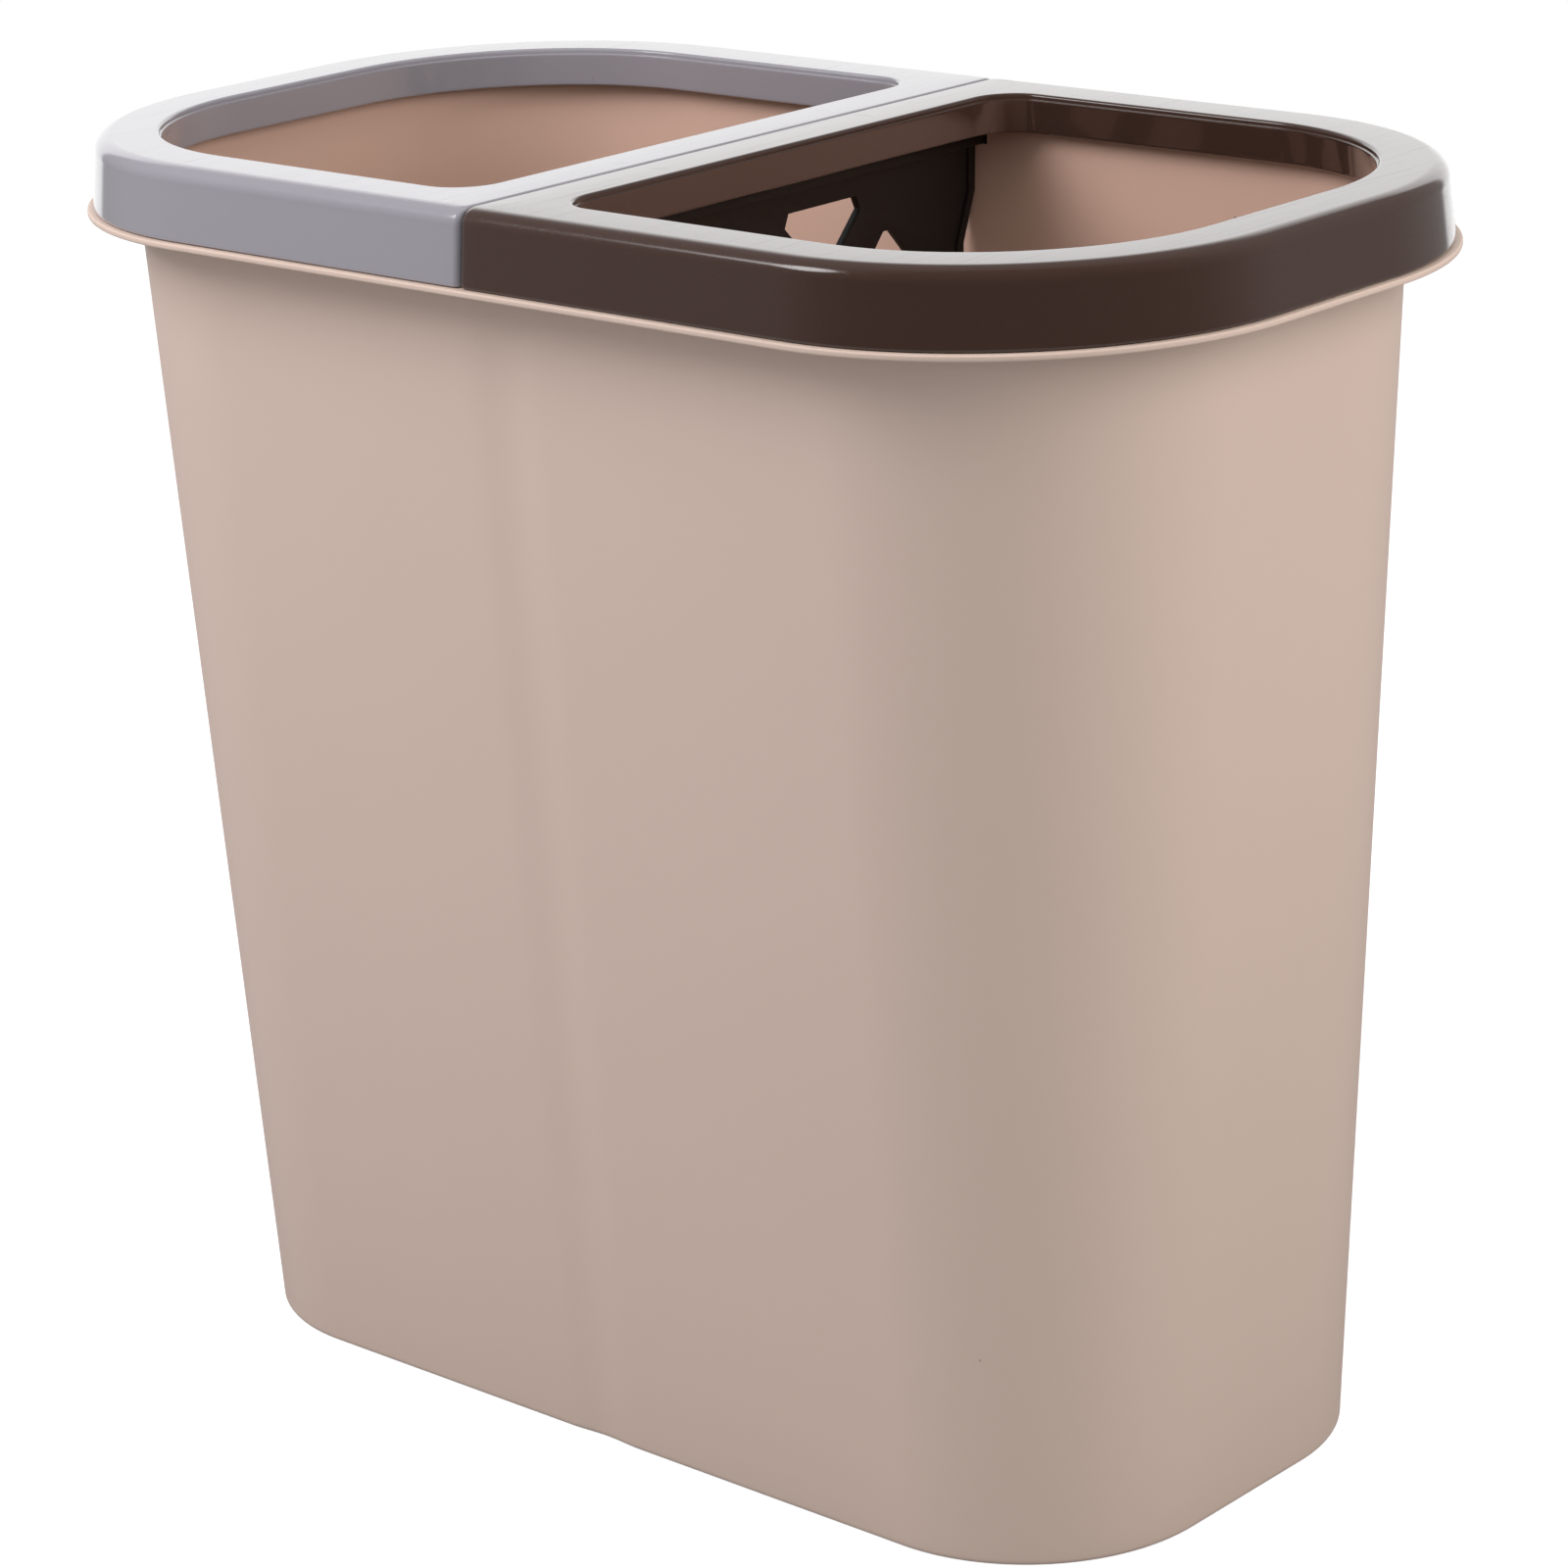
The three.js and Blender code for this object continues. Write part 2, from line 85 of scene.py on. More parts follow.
def angle(name, description, degrees):
    """An angle, given here in degrees."""
    return FloatProperty(
        name=name,
        description=description,
        default=math.radians(degrees),
        subtype="ANGLE",
        unit="ROTATION",
    )


def amount(name, description, value, low=0.0):
    """A plain number with a lower end."""
    return FloatProperty(name=name, description=description, default=value, min=low)


def swatch(name, description, red, green, blue):
    """A colour as it is seen on screen, from 0 to 255."""
    return FloatVectorProperty(
        name=name,
        description=description,
        default=(red / 255, green / 255, blue / 255),
        min=0.0,
        max=1.0,
        size=3,
        subtype="COLOR_GAMMA",
    )


class BodySizes(bpy.types.PropertyGroup):
    """Sizes of the tapered body."""

    base_length: distance("Base length", "Length of the foot", 342.6)
    base_width: distance("Base width", "Width of the foot", 167.6)
    corner_radius: distance("Corner radius", "Upright corners, at the base", 57.8)
    draft: amount("Draft", "How far the wall leans out for each unit of height", 0.053)
    wall: distance("Wall", "Thickness of the wall", 2)
    floor: distance("Floor", "Thickness of the floor", 2.5)
    floor_fillet: distance("Floor fillet", "Inside, where wall and floor meet", 8)
    foot_height: distance("Foot height", "How far the floor is raised", 3)
    foot_width: distance("Foot width", "Width of the rim that the bin stands on", 9)
    base_edge: distance("Base edge", "Radius of the lower outer edge", 1.5)
    lip_top: distance("Lip top", "Height of the face that the rings rest on", 348.7)
    lip_thickness: distance("Lip thickness", "Thickness of the lip", 1.8)
    lip_ledge: distance("Lip ledge", "How far the lip shows outside the rings", 1.8)
    lip_edge: distance("Lip edge", "Radius of the lip's edges", 0.6)
    lip_fillet: distance("Lip fillet", "Under the lip, against the wall", 3)
    rim_reach: distance("Rim reach", "From the wall out to the foot of a ring's skirt", 13.3)
    top_height: distance("Top height", "Height of the wall's top edge", 363.7)
    top_edge: distance("Top edge", "Rounding of the wall's top edge", 0.6)
    channel_depth_top: distance("Channel depth, top", "Channel in the long walls", 1.2)
    channel_depth_base: distance("Channel depth, base", "Channel in the long walls", 0.8)
    channel_half_top: distance("Channel half width, top", "Channel in the long walls", 14.6)
    channel_half_base: distance("Channel half width, base", "Channel in the long walls", 13.6)
    notch_width: distance("Notch width", "Slot for an ear of the divider", 12)
    notch_rise: distance("Notch rise", "Floor of the slot above the lip", 3.6)
    step: distance("Mesh step", "Spacing of the skin's points round the bin", 1.8)


class RingSizes(bpy.types.PropertyGroup):
    """Sizes of the two press rings."""

    seat_gap: distance("Seat gap", "Between a ring and the lip", 0.3)
    height: distance("Height", "Height of a ring", 21)
    wall: distance("Wall", "Thickness of a ring", 2)
    draft: amount("Draft", "How far the skirt leans in for each unit of height", 0.1)
    shoulder: distance("Shoulder", "Radius of the outer top edge", 5)
    skirt_corner: distance("Skirt corner", "Upright corners where the rings meet", 2)
    pocket_corner: distance("Pocket corner", "The same corners inside", 1)
    seam_gap: distance("Seam gap", "Between the two rings", 0.6)
    seam_edge: distance("Seam edge", "Radius of the edges along the seam", 1.2)
    bar_width: distance("Bar width", "Bar of each ring along the seam", 16.2)
    bar_corner: distance("Bar corner", "Corners of the opening at the bar", 13)
    inner_depth: distance("Inner skirt depth", "From the top of the ring", 11.6)
    inner_wall: distance("Inner skirt wall", "Thickness of the inner skirt", 1.8)
    inner_draft: amount("Inner skirt draft", "How far it leans out for each unit of depth", 0.1)
    rim_step: distance("Rim step", "Step inside the opening's rim, down to the inner skirt", 0.5)
    rim_step_depth: distance("Rim step depth", "From the top of the ring", 1.7)
    rim_edge: distance("Rim edge", "Radius of the opening's top edge", 1)
    step_edge: distance("Step edge", "Rounding of the step inside the rim", 0.2)
    small_edge: distance("Small edge", "Rounding of the lower edges", 0.35)
    bag_gap: distance("Bag gap", "Between the wall and the foot of the inner skirt", 3.7)
    rib: distance("Rib", "Thickness of the ribs under a ring", 1.6)
    rib_clearance: distance("Rib clearance", "Between the ribs and the wall", 0.8)
    rib_near: distance("Near ribs", "From the bin's middle to the ribs by the seam", 42)
    rib_far: distance("Far ribs", "From the bin's middle to the next ribs", 92)
    bar_rib: distance("Bar ribs", "From the bin's middle to each rib across a bar", 42)
    bar_rib_depth: distance("Bar rib depth", "Depth of the ribs across a bar", 8)
    ear_clearance: distance("Ear clearance", "Between the seam walls and the ears", 0.8)


class DividerSizes(bpy.types.PropertyGroup):
    """Sizes of the lattice divider."""

    panel: distance("Panel", "Thickness of the panel", 2.6)
    rail_width: distance("Rail width", "Flat rail along the top", 11)
    rail_thickness: distance("Rail thickness", "Flat rail along the top", 3.1)
    ear_length: distance("Ear length", "How far the rail reaches through the wall", 7.6)
    ear_depth: distance("Ear depth", "Top part that fits between the ridges", 17)
    ear_slant: distance("Ear slant", "Height over which the edge steps in", 15)
    side_gap: distance("Side gap", "How far the lower edge stands back", 5)
    seat_gap: distance("Seat gap", "Between the rail and the slot's floor", 0.3)
    clearance: distance("Clearance", "Between the divider and the ridges", 0.5)
    floor_gap: distance("Floor gap", "Under the hanging divider", 3)
    top_band: distance("Top band", "Solid band along the top", 10)
    bottom_band: distance("Bottom band", "Solid band along the bottom", 14)
    edge_band: distance("Edge band", "Solid band along each side", 13)
    bead_width: distance("Bead width", "Bead round the panel", 3)
    bead_thickness: distance("Bead thickness", "Bead round the panel", 5)
    cell_pitch: distance("Cell pitch", "Height from one row of openings to the next", 32)
    strut: distance("Strut", "Width of the lattice's struts", 14.8)
    cell_corner: distance("Cell corner", "Bevel of each opening's corners", 2.4)
    columns: IntProperty(
        name="Columns",
        description="Columns of openings on each side of the middle one",
        default=2,
        min=1,
    )
    edge: distance("Edge", "Rounding of the divider's edges", 0.35)


class Finishes(bpy.types.PropertyGroup):
    """Colours of the mouldings and the floor, and a tint of painted bounce light for the body's
    inside.
    """

    body: swatch("Body", "Beige of the body", 196, 173, 155)
    # Painted bounce light: this warmer beige stands in for light bounced round inside the bin. It
    # is not a second colour of the moulding.
    painted_bounce_inside: swatch("Body inside", "Warmer beige of the wall's inside", 199, 164, 142)
    grey_ring: swatch("Grey ring", "Grey of the left ring", 138, 134, 136)
    brown_ring: swatch("Brown ring", "Brown of the right ring", 59, 41, 33)
    divider: swatch("Divider", "Black of the divider", 16, 13, 12)
    dust: swatch("Dust", "Pale specks on the dark pieces", 168, 158, 150)
    grime: swatch("Grime", "Dark specks on the pale pieces", 120, 104, 96)
    floor: swatch("Floor", "Pale floor of the stage", 165, 165, 165)


class StageSettings(bpy.types.PropertyGroup):
    """Camera and light."""

    azimuth: angle("Azimuth", "Camera's angle round the bin, from the front", 42.10990912400198)
    elevation: angle("Elevation", "Camera's angle above the floor", 18.179477856458366)
    roll: angle("Roll", "Camera's turn about its own view line", 2.2554564958579544)
    reach: distance("Distance", "From the camera to its target", 1425.9271)
    target_height: distance("Target height", "Height of the camera's target", 185)
    slide_right: distance("Slide right", "Target's place to the right of the bin", 3.915)
    slide_down: distance("Slide down", "Target's place below the bin's middle", 5.9379)
    lens: amount("Lens", "Focal length in millimetres on a 36 mm sensor", 111.78633904852508, 1.0)
    ambient: amount("Ambient", "Strength of the even light from all round", 0.72)
    left_power: amount("Left softbox", "Watts of the softbox to the camera's left", 9.2)
    right_power: amount("Right softbox", "Watts of the softbox to the camera's right", 4.8)
    overhead_power: amount("Overhead softbox", "Watts of the softbox over the bin", 1.5)
    room_front: amount("Room in front", "What glossy skins mirror on the camera's side", 0.05)
    room_back: amount("Room behind", "What glossy skins mirror away from the camera", 0.24)
    backdrop: amount("Backdrop", "Backdrop behind the bin, as glossy skins mirror it", 0.85)
    glint: amount("Glint", "Small lamp on the left, as glossy skins mirror it", 5.0)
    floor_glow: amount("Floor glow", "Light that the floor gives to the camera alone", 0.8)


# ---------------------------------------------------------------- small helpers
def linear(colour):
    """Screen colour as the linear colour that a shader's socket takes."""
    parts = [c / 12.92 if c <= 0.04045 else ((c + 0.055) / 1.055) ** 2.4 for c in colour]
    return (*parts, 1.0)


def quarter_round(steps, first=1):
    """Quarter circle as shares from 0 to 1: along the first face, then off it."""
    turns = [step / steps * math.pi / 2 for step in range(first, steps + 1)]
    return [(math.sin(turn), 1 - math.cos(turn)) for turn in turns]


def between(low, high, count):
    """Evenly spaced values strictly between two ends."""
    return [low + (high - low) * (step + 1) / (count + 1) for step in range(count)]


def wall_reach(body, height):
    """Outside of the wall, from the line through the corner centres."""
    return body.corner_radius + body.draft * height


def corner_centre(body):
    """Centre of the upright corners in the first quadrant."""
    return (
        body.base_length / 2 - body.corner_radius,
        body.base_width / 2 - body.corner_radius,
    )


def channel_depth(body, height):
    share = height / body.top_height
    return body.channel_depth_base + (body.channel_depth_top - body.channel_depth_base) * share


def guide_half_width(body, divider, height):
    """Half the divider's width between the ridges that the channels make inside."""
    depth = channel_depth(body, height)
    return corner_centre(body)[1] + wall_reach(body, height) - body.wall - depth - divider.clearance


def mesh_object(name, mesh):
    piece = bpy.data.objects.new(name, mesh)
    bpy.context.scene.collection.objects.link(piece)
    return piece


def line_object(name, points, edges=(), **values):
    """Points and edges as an object, with named values stored on the points."""
    mesh = bpy.data.meshes.new(name)
    mesh.from_pydata(points, edges, [])
    for label, numbers in values.items():
        stored = mesh.attributes.new(label, "FLOAT", "POINT")
        for index, number in enumerate(numbers):
            stored.data[index].value = number
    return mesh_object(name, mesh)


@contextmanager
def edited(mesh):
    """The mesh's points, edges and faces to work on, written back at the end."""
    work = bmesh.new()
    work.from_mesh(mesh)
    yield work
    work.to_mesh(mesh)
    work.free()


def outward(mesh):
    """Turn a closed mesh's faces outwards, from the sign of its volume."""
    with edited(mesh) as work:
        if work.calc_volume(signed=True) < 0:
            bmesh.ops.reverse_faces(work, faces=work.faces)


def finish_piece(piece, material, nodes, body_name):
    """Shade, paint and hang a finished piece on its body in the frame."""
    mesh = piece.data
    outward(mesh)
    mesh.shade_smooth()
    mesh.set_sharp_from_angle(angle=SHARP_ANGLE)
    mesh.materials.clear()
    mesh.materials.append(material)
    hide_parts(*nodes)
    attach(piece, body_name)


class Graph:
    """Adds nodes to a tree, fills their inputs and links them."""

    def __init__(self, tree):
        self.tree = tree

    def add(self, kind, inputs=None, **settings):
        node = self.tree.nodes.new(kind)
        for name, value in settings.items():
            setattr(node, name, value)
        for key, value in (inputs or {}).items():
            self.feed(node.inputs[key], value)
        return node

    def feed(self, socket, value):
        """Link a node, its output or a list of them to a socket, or set its value."""
        if isinstance(value, list):
            for item in value:
                self.feed(socket, item)
            return
        if isinstance(value, bpy.types.Node):
            value = value.outputs[0]
        if isinstance(value, bpy.types.NodeSocket):
            self.tree.links.new(value, socket)
        else:
            socket.default_value = value

    def math(self, operation, *values, clamp=False):
        node = self.add("ShaderNodeMath", operation=operation, use_clamp=clamp)
        for index, value in enumerate(values):
            self.feed(node.inputs[index], value)
        return node.outputs[0]

    def plus(self, first, second):
        return self.math("ADD", first, second)

    def minus(self, first, second):
        return self.math("SUBTRACT", first, second)

    def times(self, first, *others):
        for other in others:
            first = self.math("MULTIPLY", first, other)
        return first

    def absolute(self, value):
        return self.math("ABSOLUTE", value)

    def shape(self, source):
        """Geometry of another object."""
        return self.add("GeometryNodeObjectInfo", {"Object": source}).outputs["Geometry"]

    def vector(self, x=0.0, y=0.0, z=0.0):
        return self.add("ShaderNodeCombineXYZ", {"X": x, "Y": y, "Z": z}).outputs[0]

    def split(self, vector):
        return self.add("ShaderNodeSeparateXYZ", {0: vector}).outputs

    def attribute(self, name):
        """Number that is stored on each point under a name."""
        node = self.add("GeometryNodeInputNamedAttribute", {"Name": name}, data_type="FLOAT")
        return node.outputs[0]

    def blend(self, share, first, second):
        """Number that turns from the first into the second as the share rises to 1."""
        node = self.add("ShaderNodeMix", {0: share, 2: first, 3: second}, data_type="FLOAT")
        return node.outputs[0]

    def blend_colour(self, share, first, second):
        node = self.add("ShaderNodeMix", {0: share, 6: first, 7: second}, data_type="RGBA")
        return node.outputs[2]

    def hypotenuse(self, first, second):
        squares = self.plus(self.times(first, first), self.times(second, second))
        return self.math("SQRT", squares)

    def smooth(self, value, low, high, to_low=0.0, to_high=1.0):
        """Smooth step of a value between two ends."""
        node = self.add("ShaderNodeMapRange", interpolation_type="SMOOTHSTEP")
        for index, item in enumerate((value, low, high, to_low, to_high)):
            self.feed(node.inputs[index], item)
        return node.outputs[0]


def geometry_tree(name, values):
    """Empty Geometry Nodes tree with a geometry output and an input for each named value."""
    kinds = {
        float: "NodeSocketFloat",
        bpy.types.Object: "NodeSocketObject",
        bpy.types.Material: "NodeSocketMaterial",
    }
    tree = bpy.data.node_groups.new(name, "GeometryNodeTree")
    tree.interface.new_socket("Geometry", in_out="INPUT", socket_type="NodeSocketGeometry")
    tree.interface.new_socket("Geometry", in_out="OUTPUT", socket_type="NodeSocketGeometry")
    for label, value in values.items():
        tree.interface.new_socket(label, in_out="INPUT", socket_type=kinds[type(value)])
    graph = Graph(tree)
    return tree, graph, graph.add("NodeGroupInput").outputs, graph.add("NodeGroupOutput")


def end_tree(graph, geometry, material, result):
    """Put out what a tree has made, as real geometry in its material."""
    real = graph.add("GeometryNodeRealizeInstances", {"Geometry": geometry})
    painted = graph.add("GeometryNodeSetMaterial", {"Geometry": real, "Material": material})
    graph.feed(result.inputs["Geometry"], painted)


def run_tree(piece, tree, values):
    """Put the tree on the piece, set its inputs and keep the plain mesh that it makes."""
    modifier = piece.modifiers.new(tree.name, "NODES")
    modifier.node_group = tree
    for item in tree.interface.items_tree:
        if item.item_type == "SOCKET" and item.in_out == "INPUT" and item.name in values:
            modifier[item.identifier] = values[item.name]
    piece.update_tag()
    depsgraph = bpy.context.evaluated_depsgraph_get()
    mesh = bpy.data.meshes.new_from_object(piece.evaluated_get(depsgraph))
    piece.modifiers.remove(modifier)
    piece.data = mesh
    mesh.name = piece.name
    return piece


# ---------------------------------------------------------------- body
def body_section(body):
    """Half section of the body as (reach, height, share of the channel), from under the
    floor round the foot, up the wall, round the lip and the top edge, and down inside."""
    def outer(height):
        return wall_reach(body, height)

    def inner(height):
        return wall_reach(body, height) - body.wall

    def follow(face, *heights):
        section.extend((face(height), height, 1.0) for height in heights)

    rim = body.corner_radius - body.base_edge
    foot = rim - body.foot_width
    section = [
        (foot - SUPPORT, body.foot_height, 0.0),
        (foot, body.foot_height, 0.0),
        (foot, FOOT_BEVEL, 0.0),
        (foot + FOOT_BEVEL, 0.0, 0.0),
        (rim - SUPPORT, 0.0, 1.0),
        (rim, 0.0, 1.0),
    ]
    for out, up in quarter_round(6):
        height = body.base_edge * up
        section.append((outer(height) - body.base_edge * (1 - out), height, 1.0))

    underside = body.lip_top - body.lip_thickness
    fillet_bottom = underside - body.lip_fillet
    low, high = body.base_edge + SUPPORT, fillet_bottom - SUPPORT
    follow(outer, low, *between(low, high, 14), high, fillet_bottom)
    for up, out in quarter_round(8):
        height = fillet_bottom + body.lip_fillet * up
        section.append((outer(height) + body.lip_fillet * out, height, 1.0 - out))

    skirt = outer(body.lip_top) + body.rim_reach
    lip = skirt + body.lip_ledge
    edge = body.lip_edge
    section += [(lip - edge - SUPPORT, underside, 0.0), (lip - edge, underside, 0.0)]
    for along, off in quarter_round(5):
        section.append((lip - edge + edge * along, underside + edge * off, 0.0))
    for along, off in quarter_round(5, first=0):
        section.append((lip - edge * off, body.lip_top - edge + edge * along, 0.0))
    section.append((lip - edge - SUPPORT, body.lip_top, 0.0))
    section.append((outer(body.lip_top) + SUPPORT, body.lip_top, 0.0))

    edge = body.top_edge
    top = body.top_height
    notch_floor = body.lip_top + body.notch_rise
    high = top - edge
    follow(outer, body.lip_top, body.lip_top + SUPPORT, notch_floor, high - SUPPORT, high)
    for up, off in quarter_round(4):
        height = high + edge * up
        section.append((outer(height) - edge * off, height, 1.0))
    for along, down in quarter_round(4, first=0):
        height = top - edge * down
        section.append((inner(height) + edge * (1 - along), height, 1.0))

    floor_top = body.foot_height + body.floor
    fillet_top = floor_top + body.floor_fillet
    low = fillet_top + 3 * SUPPORT
    follow(inner, high - SUPPORT, notch_floor, *between(notch_floor, low, 14), low, fillet_top)
    for down, inward in quarter_round(10):
        height = fillet_top - body.floor_fillet * down
        section.append((inner(height) - body.floor_fillet * inward, height, 1.0 - inward))
    section.append((section[-1][0] - 3 * SUPPORT, floor_top, 0.0))
    return section


def section_object(body):
    """The section as a line of edges: offset from the path across, height downwards."""
    section = body_section(body)
    points = [(reach - body.corner_radius, -height, 0.0) for reach, height, _ in section]
    edges = [(index, index + 1) for index in range(len(points) - 1)]
    shares = [share for _, _, share in section]
    return line_object("bin_body_moulding", points, edges, channel_share=shares)


def body_tree(values):
    """Sweep the section round the base, press the channels in, close floor and underside,
    and cut the two slots for the divider's ears."""
    tree, graph, take, result = geometry_tree("tapered body", values)
    radius = take["Corner Radius"]
    path = graph.add("GeometryNodeCurvePrimitiveQuadrilateral", {
        "Width": graph.times(graph.plus(take["Corner X"], radius), 2.0),
        "Height": graph.times(graph.plus(take["Corner Y"], radius), 2.0),
    })
    rounded = graph.add("GeometryNodeFilletCurve", {
        "Curve": path, "Count": 64, "Radius": radius, "Limit Radius": False,
    }, mode="POLY")
    even = graph.add("GeometryNodeResampleCurve", {
        "Curve": rounded, "Length": take["Step"],
    }, mode="LENGTH")
    level = graph.add("GeometryNodeSetCurveNormal", {"Curve": even}, mode="Z_UP")
    profile = graph.add("GeometryNodeMeshToCurve", {"Mesh": take["Geometry"]})
    skin = graph.add("GeometryNodeCurveToMesh", {
        "Curve": level, "Profile Curve": profile, "Fill Caps": False,
    })

    x, y, z = graph.split(graph.add("GeometryNodeInputPosition"))
    rise = graph.math("DIVIDE", z, take["Top Height"])
    depth = graph.blend(rise, take["Depth Base"], take["Depth Top"])
    half = graph.blend(rise, take["Half Width Base"], take["Half Width Top"])
    across = graph.math("DIVIDE", x, half)
    within = graph.math("LESS_THAN", graph.absolute(across), 1.0)
    wave = graph.math("COSINE", graph.times(across, math.pi))
    dip = graph.times(graph.plus(wave, 1.0), 0.5)
    share = graph.attribute("channel_share")
    shift = graph.times(depth, dip, share, within, graph.math("SIGN", y), -1.0)
    pressed = graph.add("GeometryNodeSetPosition", {
        "Geometry": skin, "Offset": graph.vector(y=shift),
    })

    neighbours = graph.add("GeometryNodeInputMeshEdgeNeighbors")
    rim = graph.math("LESS_THAN", neighbours, 1.5)
    folded = graph.add("GeometryNodeExtrudeMesh", {
        "Mesh": pressed, "Selection": rim, "Offset Scale": 0.0,
    }, mode="EDGES")
    height = graph.split(graph.add("GeometryNodeInputPosition"))["Z"]
    closed = graph.add("GeometryNodeSetPosition", {
        "Geometry": folded.outputs["Mesh"],
        "Selection": folded.outputs["Top"],
        "Position": graph.vector(z=height),
    })
    welded = graph.add("GeometryNodeMergeByDistance", {"Geometry": closed, "Distance": WELD})

    slots = []
    tall = graph.times(graph.minus(take["Top Height"], take["Slot Floor"]), 2.0)
    centre_z = graph.plus(take["Slot Floor"], graph.times(tall, 0.5))
    for side in (1.0, -1.0):
        size = graph.vector(take["Slot Width"], SLOT_CUTTER, tall)
        box = graph.add("GeometryNodeMeshCube", {"Size": size})
        centre = graph.vector(0.0, graph.times(take["Slot Reach"], side), centre_z)
        slots.append(graph.add("GeometryNodeTransform", {"Geometry": box, "Translation": centre}))
    cut = graph.add("GeometryNodeMeshBoolean", {
        "Mesh 1": welded, "Mesh 2": slots,
    }, operation="DIFFERENCE", solver="EXACT")
    end_tree(graph, cut, take["Finish"], result)
    return tree


class BIN_OT_make_body(bpy.types.Operator):
    """Build the tapered body"""

    bl_idname = "recycling_bin.make_body"
    bl_label = "Body"

    def execute(self, context):
        body = context.scene.bin_body
        divider = context.scene.bin_divider
        corner_x, corner_y = corner_centre(body)
        slot_floor = body.lip_top + body.notch_rise
        finishes = context.scene.bin_finishes
        # Painted bounce light: a warmer beige blended in on the inside of the wall, where light
        # bounces round the bin.
        painted_bounce = {
            "colour": finishes.painted_bounce_inside,
            "places": {
                "corner_x": corner_x,
                "corner_y": corner_y,
                "reach": body.corner_radius,
                "draft": body.draft,
                "near": body.channel_depth_top + 0.1 * MM,
                "far": body.wall - 0.2 * MM,
                "floor": body.foot_height + body.floor / 2,
            },
        }
        material = satin_plastic(
            "beige satin plastic", finishes.body, finishes.grime, 0.012 * MM, painted_bounce
        )
        piece = section_object(body)
        values = {
            "Corner X": corner_x,
            "Corner Y": corner_y,
            "Corner Radius": body.corner_radius,
            "Step": body.step,
            "Top Height": body.top_height,
            "Depth Base": body.channel_depth_base,
            "Depth Top": body.channel_depth_top,
            "Half Width Base": body.channel_half_base,
            "Half Width Top": body.channel_half_top,
            "Slot Width": body.notch_width,
            "Slot Floor": slot_floor,
            "Slot Reach": guide_half_width(body, divider, slot_floor) + SLOT_OUTSET,
            "Finish": material,
        }
        run_tree(piece, body_tree(values), values)
        finish_piece(piece, material, ["bin_body"], "bin")
        return {"FINISHED"}


